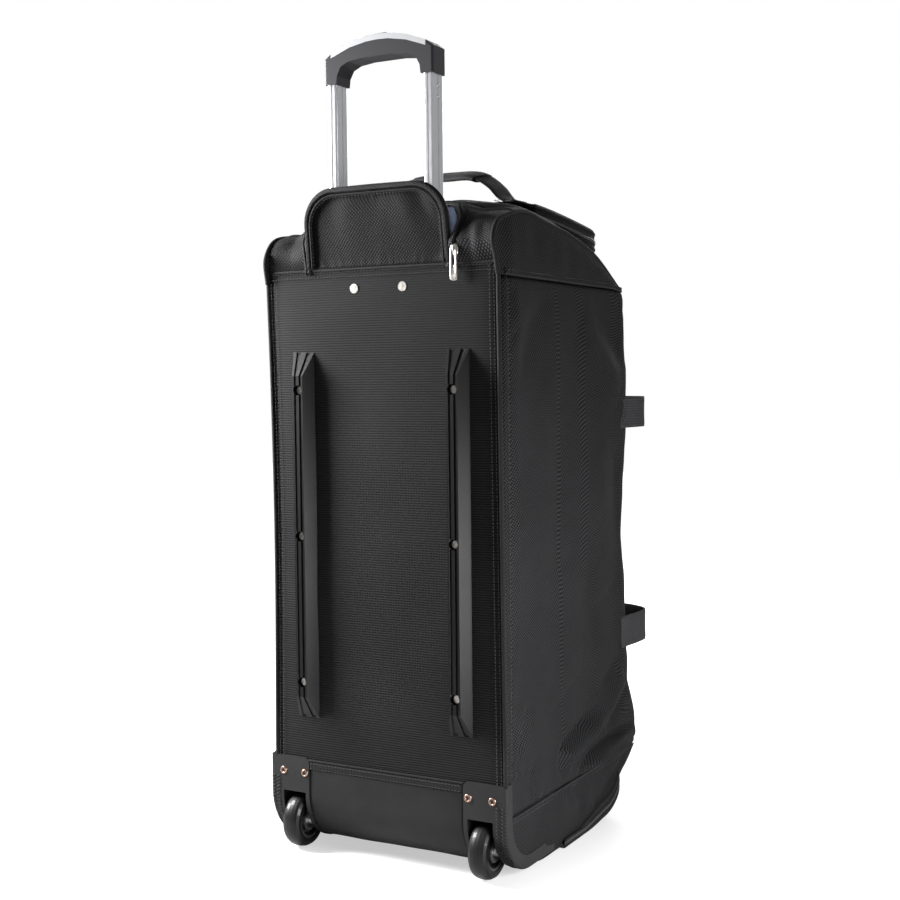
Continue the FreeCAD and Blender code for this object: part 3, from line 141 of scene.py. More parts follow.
def fold(a, b, line, width, depth, roll):
    """A valley along a smooth line through the given points, fading out at both of its ends,
    with a fuller roll of the given height on the left of the way it runs."""
    path = spline(line, 34)
    start, step = path[:-1], np.diff(path, axis=0)
    spot = np.stack(np.broadcast_arrays(a, b), -1).astype(float)[..., None, :] - start
    t = np.clip((spot * step).sum(-1) / (step**2).sum(-1), 0, 1)
    gap = spot - t[..., None] * step
    away = np.hypot(gap[..., 0], gap[..., 1])
    near = away.argmin(-1)[..., None]
    along = (np.take_along_axis(t, near, -1)[..., 0] + near[..., 0]) / len(start)
    d = np.take_along_axis(away, near, -1)[..., 0]
    turn = step[:, 0] * gap[..., 1] - step[:, 1] * gap[..., 0]
    d = d * np.sign(np.take_along_axis(turn, near, -1)[..., 0])
    fade = np.minimum(np.minimum(along, 1 - along) * 4, 1) ** 0.7
    valley = -depth * np.exp(-np.abs(d / width) ** 1.6)
    return fade * (valley + roll * np.exp(-(((d - 2.1 * width) / (1.7 * width)) ** 2)))


# ------------------------------------------------------------------ meshes
def unit(v):
    return v / np.maximum(np.linalg.norm(v, axis=-1, keepdims=True), 1e-9)


def points_at(*coordinates):
    """Points from their coordinates, any of which may be one number for all of them."""
    return np.stack(np.broadcast_arrays(*coordinates), -1).astype(float)


def walk(path):
    """The distance walked from the path's start to each of its points."""
    return np.concatenate([[0], np.cumsum(np.linalg.norm(np.diff(path, axis=0), axis=1))])


def mesh_piece(name, points, faces, uv, material, slot, replaces=(), body="bag"):
    """A piece from points in drawing millimetres; uv is one pair per point, in millimetres."""
    mesh = bpy.data.meshes.new(name)
    mesh.from_pydata([tuple(p) for p in place(points)], [], [tuple(f) for f in faces])
    mesh.validate()
    mesh.polygons.foreach_set("use_smooth", [True] * len(mesh.polygons))
    layer = mesh.uv_layers.new(name="weave")
    index = np.zeros(len(mesh.loops), int)
    mesh.loops.foreach_get("vertex_index", index)
    layer.data.foreach_set("uv", (np.array(uv, float) / 1000)[index].ravel())
    mesh.update()
    obj = bpy.data.objects.new(name, mesh)
    bpy.context.scene.collection.objects.link(obj)
    obj.data.materials.append(material)
    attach(obj, body)
    if replaces:
        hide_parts(*replaces)
    return obj


def lattice_faces(rows, cols, wrap=False, start=0):
    faces = []
    last = cols if wrap else cols - 1
    for r in range(rows - 1):
        for c in range(last):
            d = (c + 1) % cols
            faces.append(
                (
                    start + r * cols + c,
                    start + r * cols + d,
                    start + (r + 1) * cols + d,
                    start + (r + 1) * cols + c,
                )
            )
    return faces


def apply_modifiers(obj):
    """Keeps the evaluated mesh and drops the modifiers."""
    bpy.context.view_layer.update()
    graph = bpy.context.evaluated_depsgraph_get()
    mesh = bpy.data.meshes.new_from_object(obj.evaluated_get(graph))
    obj.modifiers.clear()
    obj.data = mesh
    return obj


def thicken(obj, thick):
    """Gives a sheet its thickness, inwards."""
    shell = obj.modifiers.new("thickness", "SOLIDIFY")
    shell.thickness = thick / 1000
    shell.offset = -1
    return apply_modifiers(obj)


SETTLING_FRAMES = 16


def settled(points, held, cap, pressure=2.5, slack=0.02):
    """A lattice of cloth after a short cloth simulation: it is let out by slack, blown out a
    little from inside and held where held is true. No point moves by more than cap."""
    rows, cols = points.shape[:2]
    mesh = bpy.data.meshes.new("settling")
    mesh.from_pydata([tuple(p) for p in points.reshape(-1, 3) / 100], [], lattice_faces(rows, cols))
    obj = bpy.data.objects.new("settling", mesh)
    bpy.context.scene.collection.objects.link(obj)
    group = obj.vertex_groups.new(name="held")
    group.add([int(i) for i in np.flatnonzero(held.reshape(-1))], 1.0, "REPLACE")
    cloth = obj.modifiers.new("cloth", "CLOTH")
    setup = cloth.settings
    setup.quality = 4
    setup.mass = 0.4
    setup.tension_stiffness = setup.compression_stiffness = 18
    setup.shear_stiffness = 8
    setup.bending_stiffness = 0.4
    setup.use_pressure = True
    setup.uniform_pressure_force = pressure
    setup.shrink_min = -slack
    setup.effector_weights.gravity = 0
    setup.vertex_group_mass = "held"
    cloth.collision_settings.use_collision = False
    cloth.point_cache.frame_end = SETTLING_FRAMES
    scene = bpy.context.scene
    for step in range(1, SETTLING_FRAMES + 1):
        scene.frame_set(step)
    bpy.context.view_layer.update()
    ready = obj.evaluated_get(bpy.context.evaluated_depsgraph_get()).to_mesh()
    moved = np.empty(len(ready.vertices) * 3)
    ready.vertices.foreach_get("co", moved)
    scene.frame_set(1)
    bpy.data.objects.remove(obj)
    shift = moved.reshape(rows, cols, 3) * 100 - points
    far = np.linalg.norm(shift, axis=2, keepdims=True)
    return points + shift * (cap * np.tanh(far / cap) / np.maximum(far, 1e-6))


def edge_held(rows, cols):
    """The points along a lattice's four edges, which are sewn down."""
    held = np.ones((rows, cols), bool)
    held[1:-1, 1:-1] = False
    return held


def sheet_piece(
    name, points, replaces, material=None, slot="side_nylon", uv=None, thick=1.4, flip=False, body="bag"
):
    """A patch of cloth from a rows x cols x 3 lattice, given its thickness inwards."""
    rows, cols = points.shape[:2]
    faces = lattice_faces(rows, cols)
    if flip:
        faces = [f[::-1] for f in faces]
    if uv is None:
        u = np.concatenate(
            [np.zeros((rows, 1)), np.cumsum(np.linalg.norm(np.diff(points, axis=1), axis=2), 1)], 1
        )
        v = np.concatenate(
            [np.zeros((1, cols)), np.cumsum(np.linalg.norm(np.diff(points, axis=0), axis=2), 0)], 0
        )
        uv = np.stack([u, v], 2)
    obj = mesh_piece(
        name, points.reshape(-1, 3), faces, uv.reshape(-1, 2), material or SIDE_CLOTH, slot, replaces, body
    )
    return thicken(obj, thick)


def frames_along(path, normals):
    tangent = unit(np.gradient(path, axis=0))
    side = unit(np.cross(tangent, normals))
    up = unit(np.cross(side, tangent))
    return tangent, side, up


def swept(path, normals, section):
    """Points, faces and weave coordinates of a section of (side, up) pairs swept on a path."""
    path = np.array(path, float)
    normals = np.broadcast_to(np.array(normals, float), path.shape)
    _, side, up = frames_along(path, normals)
    section = np.array(section, float)
    rows, cols = len(path), len(section)
    points = (
        path[:, None]
        + side[:, None] * section[None, :, 0, None]
        + up[:, None] * section[None, :, 1, None]
    )
    faces = lattice_faces(rows, cols, wrap=True)
    faces.append(tuple(range(cols))[::-1])
    faces.append(tuple((rows - 1) * cols + c for c in range(cols)))
    walked = walk(path)
    around = walk(section)
    uv = np.stack(np.meshgrid(around, walked), 2)
    return points.reshape(-1, 3), faces, uv.reshape(-1, 2)


def gathered(parts):
    """Several (points, faces, uv) parts as one."""
    points, faces, uv, start = [], [], [], 0
    for p, f, t in parts:
        points.append(p)
        uv.append(t)
        faces += [tuple(i + start for i in face) for face in f]
        start += len(p)
    return np.concatenate(points), faces, np.concatenate(uv)


def joined_piece(name, parts, material, slot, replaces=(), body="bag"):
    return mesh_piece(name, *gathered(parts), material, slot, replaces, body)


def round_section(radius, count):
    turn = np.arange(count) * 2 * math.pi / count
    return np.stack([np.cos(turn), np.sin(turn)], 1) * radius


def rounded(turn, wide, tall, power, tall_power):
    """Points round a rectangle with well rounded corners, from its half sizes."""
    c, s = np.cos(turn), np.sin(turn)
    return points_at(
        wide * np.sign(c) * np.abs(c) ** power, tall * np.sign(s) * np.abs(s) ** tall_power
    )


def full_turn(count):
    return np.linspace(0, 2 * math.pi, count + 1)[:-1]


def flat_section(width, thick, count, cup=0.0):
    """A strap's section: flat, with rounded edges and a slight cup."""
    across = np.linspace(-width / 2, width / 2, count)
    bend = cup * (2 * across / width) ** 2
    edge = np.where(np.abs(across) > width / 2 - 0.1, 0.55, 1.0) * thick / 2
    upper = np.stack([across, bend + edge], 1)
    lower = np.stack([across, bend - edge], 1)[::-1]
    return np.concatenate([upper, lower])


# ------------------------------------------------------------------ materials
class Paint:
    """A node material with a few short calls for the usual links."""

    def __init__(self, name, metal=0.0, sheen=0.0, coat=0.0, specular=0.5):
        self.material = bpy.data.materials.new(name)
        self.material.use_nodes = True
        self.tree = self.material.node_tree
        self.shader = self.tree.nodes["Principled BSDF"]
        self.shader.inputs["Metallic"].default_value = metal
        self.shader.inputs["Sheen Weight"].default_value = sheen
        self.shader.inputs["Sheen Roughness"].default_value = 0.45
        self.shader.inputs["Coat Weight"].default_value = coat
        self.shader.inputs["Specular IOR Level"].default_value = specular

    def node(self, kind, **settings):
        made = self.tree.nodes.new(kind)
        for key, value in settings.items():
            setattr(made, key, value)
        return made

    def link(self, source, target):
        self.tree.links.new(source, target)

    def maths(self, operation, a, b=None):
        made = self.node("ShaderNodeMath", operation=operation)
        for socket, value in zip(made.inputs, (a, b)):
            if value is None:
                continue
            if isinstance(value, (int, float)):
                socket.default_value = value
            else:
                self.link(value, socket)
        return made.outputs[0]

    def weave_axes(self, turn=0.0):
        """The cloth's two directions, in millimetres."""
        uv = self.node("ShaderNodeUVMap", uv_map="weave")
        turned = self.node("ShaderNodeVectorRotate", rotation_type="Z_AXIS")
        turned.inputs["Angle"].default_value = math.radians(turn)
        self.link(uv.outputs[0], turned.inputs["Vector"])
        split = self.node("ShaderNodeSeparateXYZ")
        self.link(turned.outputs[0], split.inputs[0])
        return (
            self.maths("MULTIPLY", split.outputs[0], 1000.0),
            self.maths("MULTIPLY", split.outputs[1], 1000.0),
        )

    def wave(self, along, pitch):
        """0 to 1, once every pitch."""
        angle = self.maths("MULTIPLY_ADD", along, 2 * math.pi / pitch)
        angle.node.inputs[2].default_value = 0
        sine = self.maths("SINE", angle)
        return self.maths("ADD", self.maths("MULTIPLY", sine, 0.5), 0.5)

    def noise(self, scale, detail, stretch=None):
        """Noise in the object's own space; scale is per metre."""
        where = self.node("ShaderNodeTexCoord")
        source = where.outputs["Object"]
        if stretch:
            mapped = self.node("ShaderNodeMapping")
            mapped.inputs["Scale"].default_value = stretch
            self.link(source, mapped.inputs["Vector"])
            source = mapped.outputs[0]
        made = self.node("ShaderNodeTexNoise")
        made.inputs["Scale"].default_value = scale
        made.inputs["Detail"].default_value = detail
        made.inputs["Roughness"].default_value = 0.55
        self.link(source, made.inputs["Vector"])
        return made.outputs["Fac"]

    def blend(self, factor, low, high, limits):
        """A colour between two, by a factor."""
        ramp = self.node("ShaderNodeValToRGB")
        ramp.color_ramp.elements[0].position = limits[0]
        ramp.color_ramp.elements[1].position = limits[1]
        ramp.color_ramp.elements[0].color = (*low, 1)
        ramp.color_ramp.elements[1].color = (*high, 1)
        self.link(factor, ramp.inputs[0])
        return ramp.outputs[0]

    def colour(self, socket):
        self.link(socket, self.shader.inputs["Base Color"])

    def tint(self, first, second, factor):
        """Multiplies one colour by another."""
        mix = self.node("ShaderNodeMix", data_type="RGBA", blend_type="MULTIPLY")
        mix.inputs["Factor"].default_value = factor
        self.link(first, mix.inputs[6])
        self.link(second, mix.inputs[7])
        return mix.outputs[2]

    def worn(self, cloth, scale, low, high, limits=(0.35, 0.7), detail=4):
        """The cloth's colour, lighter and darker in broad patches."""
        wear = self.blend(self.noise(scale, detail), grey(low), grey(high), limits)
        self.colour(self.tint(cloth, wear, 0.6))

    def roughness(self, factor, low, high):
        span = self.node("ShaderNodeMapRange")
        span.inputs["To Min"].default_value = low
        span.inputs["To Max"].default_value = high
        self.link(factor, span.inputs["Value"])
        self.link(span.outputs[0], self.shader.inputs["Roughness"])

    def bump(self, height, depth, strength, after=None):
        """Raises the surface by up to depth millimetres."""
        made = self.node("ShaderNodeBump")
        made.inputs["Strength"].default_value = strength
        made.inputs["Distance"].default_value = depth / 1000
        self.link(height, made.inputs["Height"])
        if after is not None:
            self.link(after, made.inputs["Normal"])
        self.link(made.outputs[0], self.shader.inputs["Normal"])
        return made.outputs[0]


def grey(value):
    """A neutral colour, very slightly cool."""
    return (value, value, value * 1.04)


def ribbed_nylon(name, dark, light):
    """Ballistic nylon whose weft stands up in fine level ribs, its colour painted light on the crests and
    dark in the hollows: painted highlight and painted shade.
    """
    paint = Paint(name, sheen=0.012, specular=0.1)
    across, up = paint.weave_axes()
    ribs = paint.wave(up, 2.7)
    threads = paint.wave(across, 3.4)
    offset = paint.wave(paint.maths("ADD", across, paint.maths("MULTIPLY", up, 1.26)), 3.4)
    cells = paint.maths("ADD", paint.maths("MULTIPLY", ribs, 0.72), paint.maths("MULTIPLY", offset, 0.18))
    height = paint.maths("ADD", cells, paint.maths("MULTIPLY", threads, 0.1))
    # Painted highlight and shade: the rib crests are coloured light and the hollows between them dark.
    cloth = paint.blend(height, grey(dark), grey(light), (0.12, 0.95))
    paint.worn(cloth, 9, 0.72, 1.15)
    paint.roughness(height, 0.62, 0.8)
    grain = paint.bump(paint.noise(1400, 2), 0.12, 0.5)
    paint.bump(height, 0.45, 0.9, after=grain)
    return paint.material


def twill_nylon(name, dark, light):
    """Nylon with a diagonal weave of small raised dots, painted light on the dots and dark between them:
    painted highlight and painted shade.
    """
    paint = Paint(name, sheen=0.01, specular=0.08)
    across, up = paint.weave_axes(38)
    lines = paint.wave(up, 2.5)
    dots = paint.wave(across, 3.1)
    weave = paint.maths("MULTIPLY", paint.maths("POWER", lines, 1.4), paint.maths("POWER", dots, 1.2))
    # Painted highlight and shade: the raised dots are coloured light and the spaces between them dark.
    cloth = paint.blend(weave, grey(dark), grey(light), (0.05, 0.75))
    paint.worn(cloth, 7, 0.75, 1.15)
    paint.roughness(weave, 0.62, 0.82)
    grain = paint.bump(paint.noise(1500, 2), 0.12, 0.5)
    paint.bump(weave, 0.4, 0.9, after=grain)
    return paint.material


def coated_cloth():
    """The skirt's smooth coated cloth, with a fine pebble."""
    paint = Paint("coated_cloth", sheen=0.01, specular=0.2)
    cells = paint.node("ShaderNodeTexVoronoi")
    cells.inputs["Scale"].default_value = 900
    where = paint.node("ShaderNodeTexCoord")
    paint.link(where.outputs["Object"], cells.inputs["Vector"])
    paint.colour(paint.blend(paint.noise(14, 4), grey(0.010), grey(0.017), (0.3, 0.7)))
    paint.roughness(paint.noise(30, 3), 0.5, 0.66)
    pebble = paint.bump(cells.outputs["Distance"], 0.12, 0.5)
    paint.bump(paint.noise(60, 3), 0.5, 0.35, after=pebble)
    return paint.material


def webbing(name, dark, light, pitch=1.9, turn=0.0):
    """Webbing, edging and thread: ribs across the run and a few rows along it, painted light where they
    stand up and dark between them: painted highlight and painted shade.
    """
    paint = Paint(name, sheen=0.03, specular=0.12)
    across, along = paint.weave_axes(turn)
    ribs = paint.wave(along, pitch)
    rows = paint.wave(across, 3.2)
    height = paint.maths("ADD", paint.maths("MULTIPLY", ribs, 0.6), paint.maths("MULTIPLY", rows, 0.4))
    # Painted highlight and shade: the raised ribs and rows are coloured light and the hollows between them
    # dark.
    cloth = paint.blend(height, grey(dark), grey(light), (0.1, 0.95))
    paint.worn(cloth, 25, 0.8, 1.12, (0.35, 0.65), 3)
    paint.roughness(height, 0.6, 0.8)
    paint.bump(height, 0.4, 0.9)
    return paint.material


def moulded(name, value, rough, grain=900, depth=0.08, coat=0.0):
    """Moulded plastic with a fine grain and slight scuffs."""
    paint = Paint(name, specular=0.22, coat=coat)
    paint.colour(paint.blend(paint.noise(18, 4), grey(value * 0.85), grey(value * 1.2), (0.35, 0.7)))
    paint.roughness(paint.noise(40, 4), rough - 0.06, rough + 0.08)
    paint.bump(paint.noise(grain, 2), depth, 0.5)
    return paint.material


def metal(name, low, high, rough, stretch=None, scale=300):
    """Metal whose finish runs the way it was worked."""
    paint = Paint(name, metal=1.0)
    grain = paint.noise(scale, 3, stretch=stretch)
    paint.colour(paint.blend(grain, low, high, (0.35, 0.65)))
    paint.roughness(grain, rough - 0.06, rough + 0.08)
    paint.bump(grain, 0.03, 0.4)
    return paint.material


def lining_cloth():
    """The thin blue lining, its blue painted lighter and darker in patches as painted shade of its creases.
    """
    paint = Paint("blue_lining", sheen=0.3, specular=0.3)
    across, along = paint.weave_axes()
    threads = paint.maths("MULTIPLY", paint.wave(across, 1.2), paint.wave(along, 1.2))
    # Painted shade: folds is a noise, not tied to the shape, that paints the lining lighter and darker blue
    # in patches standing in for the shade of its creases; it sets the roughness too.
    folds = paint.noise(38, 3)
    paint.colour(paint.blend(folds, (0.016, 0.030, 0.085), (0.070, 0.115, 0.230), (0.35, 0.68)))
    paint.roughness(folds, 0.55, 0.75)
    paint.bump(threads, 0.2, 0.6)
    return paint.material


def zip_teeth():
    """A zip's coil: a row of small hoops, painted light on top and dark between them: painted highlight and
    painted shade.
    """
    paint = Paint("zip_coil")
    _, along = paint.weave_axes()
    hoops = paint.wave(along, 1.7)
    # Painted highlight and shade: each hoop's top is coloured light and the gap between hoops dark.
    paint.colour(paint.blend(hoops, grey(0.008), grey(0.035), (0.2, 0.9)))
    paint.roughness(hoops, 0.35, 0.5)
    paint.bump(hoops, 0.5, 1.0)
    return paint.material


def copper_rivet():
    """The rolled rim of a tubular rivet."""
    paint = Paint("copper_rivet", metal=1.0)
    worn = paint.noise(700, 3)
    paint.colour(paint.blend(worn, (0.20, 0.12, 0.085), (0.48, 0.31, 0.24), (0.35, 0.65)))
    paint.roughness(worn, 0.22, 0.42)
    paint.bump(worn, 0.05, 0.5)
    return paint.material


BACK_CLOTH = ribbed_nylon("ribbed_nylon", 0.003, 0.024)
FLAP_CLOTH = twill_nylon("flap_nylon", 0.003, 0.027)
SIDE_CLOTH = twill_nylon("twill_nylon", 0.0038, 0.054)
SKIRT_CLOTH = coated_cloth()
STRAP = webbing("webbing", 0.014, 0.058)
EDGING = webbing("edging", 0.007, 0.020, pitch=1.4, turn=35)
THREAD = webbing("thread", 0.030, 0.085, pitch=0.9, turn=30)
LINING = lining_cloth()
GUARD = moulded("guard_plastic", 0.019, 0.5, grain=1100, depth=0.1)
RAIL = moulded("rail_plastic", 0.002, 0.4, grain=700, depth=0.04)
GLOSS = moulded("gloss_plastic", 0.008, 0.22, grain=250, depth=0.02, coat=0.3)
TYRE = moulded("tyre_urethane", 0.005, 0.42, grain=200, depth=0.02, coat=0.12)
HUB = moulded("hub_plastic", 0.05, 0.4)
ZIP = zip_teeth()
NICKEL = metal("nickel", (0.34, 0.32, 0.30), (0.60, 0.57, 0.53), 0.38)
COPPER = copper_rivet()
STEEL = metal("zinc_steel", (0.40, 0.40, 0.41), (0.62, 0.62, 0.63), 0.35)
SATIN = metal("satin_aluminium", (0.66, 0.67, 0.69), (0.84, 0.85, 0.87), 0.3, (40, 40, 1), 60)

# The CAD pieces that show, by material: those that come in left and right, and the others.
CAD_FINISH = {
    RAIL: ("skid_rail", ""),
    NICKEL: ("", "panel_rivets rail_screws"),
    GUARD: ("wheel_housing", "lower_bracket upper_bezel base_board"),
    TYRE: ("tyre", ""),
    HUB: ("hub", ""),
    STEEL: ("axle bearings lock_pin", "trolley_sleeves pull_rods"),
    SATIN: ("tube", ""),
    GLOSS: ("tube_foot", "release_button release_bar"),
}
for material, (paired, single) in CAD_FINISH.items():
    sides = [f"{node}_{side}" for node in paired.split() for side in ("left", "right")]
    for node in sides + single.split():
        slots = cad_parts[node].data.materials
        slots.clear()
        slots.append(material)


# ------------------------------------------------------------------ the bag's own shape
# Lines of the bag seen from its side, as points (y, z): the piping over each side, the middle of
# the top, the lower edge of the sides and the middle of the underside.
SIDE_LINES = {
    "top": [(-1, 652), (-6, 671), (-12, 684), (-5, 702), (22, 714), (60, 721), (112, 715), (180, 706)]
    + [(252, 688), (331, 651)],
    "top_left": [(-1, 652), (-4, 680), (7, 697), (50, 709), (112, 708), (180, 701), (252, 685), (331, 651)],
    "crown": [(-1.5, 665), (-3, 690), (10, 724), (52, 738), (118, 738), (200, 727), (290, 700), (360, 651)],
    "foot": [(57, 8), (88, 3.5), (118, 3), (200, 4), (262, 13), (296, 30), (322, 43), (345, 55), (368, 70)],
    "belly": [(57, 8), (88, 3.5), (118, 4), (227, 5), (300, 14), (350, 40), (391, 70)],
}
front_line = curve(
    [(60, 381), (70, 391), (79, 404), (90, 409), (106, 406), (139, 392), (190, 381), (240, 375)]
    + [(600, 373), (635, 369), (651, 360)]
)
CORNER = 38.0
side_noise = ripples(3, 14, 70, 190)
fine_noise = ripples(8, 12, 24, 60)
right_edge = curve([(100, BODY_HALF + 1.2), (380, BODY_HALF - 1), (665, BODY_HALF - 3.2)])
left_edge = curve(
    [(100, BODY_HALF - 5), (380, BODY_HALF - 8), (550, BODY_HALF - 5.5), (665, BODY_HALF - 2)]
)


def back_half(z, side):
    """How far the back reaches to one side at a height."""
    return right_edge(z) if side > 0 else left_edge(z)


def side_base(y, z, side):
    """The side's flat distance from the middle, before its swell and folds: out from the back
    edge, with a groove behind the piping and a slight one under the row of stitches."""
    lean = smoothstep(y / (14 if side > 0 else 24))
    groove = -0.8 * np.exp(-(((y - 5.0) / 3.2) ** 2)) - 0.12 * np.exp(-(((y - 17.5) / 2.2) ** 2))
    plain = (back_half(z, side) + 0.2) * (1 - lean) + (BODY_HALF + 0.3) * lean + groove * 8
    return np.where((z < 112) & (y < 62), BODY_HALF + 0.2, plain)


FOLD_STRENGTH = 2.0
# The folds that the side cloth has settled into: points (y, z) of the valley, its width, its
# depth and the height of the roll beside it, for the left side and for the right one.
SIDE_FOLDS = (
    (
        (((352, 84), (240, 90), (120, 84)), 8, 5.0, 4.0),
        (((180, 118), (215, 140), (240, 196)), 13, 3.0, 1.5),
        (((300, 240), (262, 330), (220, 420)), 30, 2.0, 1.5),
        (((110, 300), (126, 400), (150, 500)), 30, 1.8, 1.2),
    ),
    (
        (((372, 92), (312, 93), (252, 91), (214, 84), (188, 72)), 5.5, 8.0, 7.0),
        (((262, 146), (233, 135), (171, 123), (142, 112), (141, 92), (146, 78)), 6.5, 6.5, 5.0),
        (((33, 128), (40, 148), (47, 166), (56, 186)), 6, 2.6, 1.6),
        (((66, 101), (44, 96), (24, 88)), 5, 2.2, 1.2),
        (((268, 108), (310, 132), (343, 152), (334, 182)), 12, 3.2, 3.0),
        (((352, 196), (300, 184), (250, 158)), 16, 2.2, 1.8),
        (((345, 300), (322, 380), (306, 470)), 30, 2.2, 1.8),
        (((232, 212), (214, 262), (212, 330)), 26, 1.6, 2.0),
        (((118, 320), (128, 430), (152, 540)), 30, 1.6, 1.6),
        (((342, 560), (288, 596), (232, 640)), 20, 2.4, 2.2),
        (((44, 540), (66, 590), (112, 634)), 18, 1.6, 1.2),
    ),
)


def up_the_side(z):
    """0 at the low seam to 1 at the top one."""
    return np.clip((z - LOW_SEAM_Z) / (TOP_SEAM_Z - LOW_SEAM_Z), 0, 1)


def side_swell(side, y, z):
    """How far the side cloth stands off its flat, with the folds it has settled into."""
    v = up_the_side(z)
    u = np.clip(y / 352, 0, 1)
    edge = np.minimum(np.minimum(v * 60, (1 - v) * 14), 1) * smoothstep((y - 16) / 16)
    swell = 3.2 * (np.sin(np.pi * v) * np.sin(np.pi * np.clip(u, 0.02, 0.98))) ** 0.6
    swell = swell + 1.5 * side_noise(y * side, z * 0.5)
    for line, width, depth, roll in SIDE_FOLDS[side > 0]:
        swell = swell + fold(y, z, line, width, depth, roll) * FOLD_STRENGTH
    tidy = 1 - (1 - smoothstep((y - 62) / 24)) * (1 - smoothstep((z - 110) / 24))
    return swell * edge * tidy + fine_noise(y + 400 * side, z) * 0.12 * edge


def front_swell(x, z):
    """How far the front's cloth stands off its flat."""
    v = up_the_side(z)
    edge = np.minimum(np.minimum(v, 1 - v) * 10, 1) * smoothstep((np.abs(x) - 14) / 22)
    return (side_noise(x, z + 900) * 1.5 + fine_noise(x, z) * 0.3) * edge


def wrap_outline(z):
    """The body's plan outline at one height, from the right back edge round to the left."""
    reach = front_line(z)
    y = np.linspace(0, 1, 78) ** 1.45 * (reach - CORNER)
    centre = BODY_HALF + 0.3 - CORNER
    out = []
    for side in (1, -1):
        x = side_base(y, z, side) + side_swell(side, y, np.full_like(y, z))
        turn = np.linspace(0, math.pi / 2, 12)[1:-1]
        swell = side_swell(side, np.full_like(turn, reach - CORNER), np.full_like(turn, z))
        radius = CORNER + swell * np.cos(turn) + front_swell(np.full_like(turn, centre), z) * np.sin(turn)
        run = np.stack([x, y], 1)
        bend = np.stack([centre + radius * np.cos(turn), reach - CORNER + radius * np.sin(turn)], 1)
        out.append(np.concatenate([run, bend]) * (side, 1))
    middle = np.linspace(centre, -centre, 46)
    face = np.stack([middle, reach + front_swell(middle, np.full_like(middle, z))], 1)
    return np.concatenate([out[0], face, out[1][::-1]])


BODY_MIDDLE = (0, 190)


def body_cloth():
    """Both sides and the front in one run of cloth, between the low seam and the top seam."""
    spread = np.linspace(0, 1, 150)
    heights = LOW_SEAM_Z + (TOP_SEAM_Z - LOW_SEAM_Z) * (0.45 * spread + 0.55 * spread**2)
    points = []
    for z in heights:
        outline = wrap_outline(z)
        pinch = 1.6 * sum(np.exp(-(((z - seam) / 3.5) ** 2)) for seam in (LOW_SEAM_Z, TOP_SEAM_Z))
        outline = outline - unit(outline - BODY_MIDDLE) * pinch
        points.append(points_at(*outline.T, z))
    points = np.array(points)
    held = edge_held(*points.shape[:2])
    held |= (points[..., 1] < 19) | ((points[..., 1] < 64) & (points[..., 2] < 112))
    points = settled(points, held, cap=1.8)
    obj = sheet_piece("body_cloth", points, ("side_panel_left", "side_panel_right", "front_panel"))
    declare_cloth(obj, "back_cloth", points)


# Ridges and valleys low on the sides: two ends (y, z), the width and the height.
FOOT_CREASES = (
    ((140, 58), (205, 46), 18, 3.2),
    ((175, 62), (190, 36), 9, -2.6),
    ((238, 24), (322, 54), 9, -2.8),
)


def gusset(line, seam_z, side, seed):
    """The side's end piece, between a level seam and the piping over or under it."""
    if line == "foot":
        route = [(0, 70), (-0.5, 62), (5, 36), (24, 14), (57, 8)] + SIDE_LINES["foot"][1:]
    else:
        route = SIDE_LINES["top" if side > 0 else "top_left"]
    edge = spline(route, 84)
    seam_y = edge[0, 0] + (edge[-1, 0] - edge[0, 0]) * np.linspace(0, 1, 84) ** 1.05
    noise = ripples(seed, 12, 40, 120)
    out = []
    for v in np.linspace(0, 1, 22):
        y = seam_y * (1 - v) + edge[:, 0] * v
        z = seam_z * (1 - v) + edge[:, 1] * v
        tall = np.abs(edge[:, 1] - seam_z)
        room = np.minimum(tall / 60, 1)
        lift = (2.6 * math.sin(math.pi * v) ** 0.7 + noise(y, z) * 1.2 * math.sin(math.pi * v)) * room
        if line == "foot":
            lift = lift * smoothstep((y - 64) / 40)
            for start, end, width, height in FOOT_CREASES:
                lift = lift + crease(y, z, start, end, width, height)
            lift = lift * smoothstep((y - 60) / 20) * math.sin(math.pi * min(v + 0.02, 1)) ** 0.3
        pinch = 1.3 * math.exp(-((v / 0.05) ** 2)) * room
        base = BODY_HALF + 0.3
        if line == "top":
            lift = lift * smoothstep((y - 3) / 26)
            lean = smoothstep(y / 24)
            base = back_half(z, side) * (1 - lean) + base * lean
        drop = 2.4 * v**2 if line == "top" else 0.0
        out.append(np.stack([side * (base + lift - pinch - drop), y, z], 1))
    return np.array(out)


def end_gussets():
    """The four end pieces of the sides."""
    parts, pieces = [], []
    for side in (1, -1):
        for line, seam_z, seed in (("top", TOP_SEAM_Z, 21), ("foot", LOW_SEAM_Z, 33)):
            points = gusset(line, seam_z, side, seed + side)
            pieces.append(points)
            faces = lattice_faces(*points.shape[:2])
            if (side > 0) != (line == "foot"):
                faces = [f[::-1] for f in faces]
            flat = points.reshape(-1, 3)
            parts.append((flat, faces, flat[:, 1:] * (side, 1)))
    obj = joined_piece("end_gussets", parts, SIDE_CLOTH, "side_nylon")
    declare_cloth(thicken(obj, 1.4), "body_cloth", *pieces)


def declare_cloth(obj, rests_on, *lattices, flat=None):
    """Works out the cut and area of a stretched sheet from the lattices, in millimetres, that it is sewn
    from;
    nothing is done with them. Its cut is as wide as the widest and as long as all of them end to end,
    unless flat says otherwise."""
    wide = long = area = 0.0
    for points in lattices:
        across, along = np.diff(points, axis=1), np.diff(points, axis=0)
        wide = max(wide, np.linalg.norm(across, axis=2).sum(1).max() / 1000)
        long += np.linalg.norm(along, axis=2).sum(0).max() / 1000
        one, other = points[1:, 1:] - points[:-1, :-1], points[1:, :-1] - points[:-1, 1:]
        area += np.linalg.norm(np.cross(one, other), axis=2).sum() / 2e6
    width, length = flat or (wide, long)
    area = float(min(area, width * length))


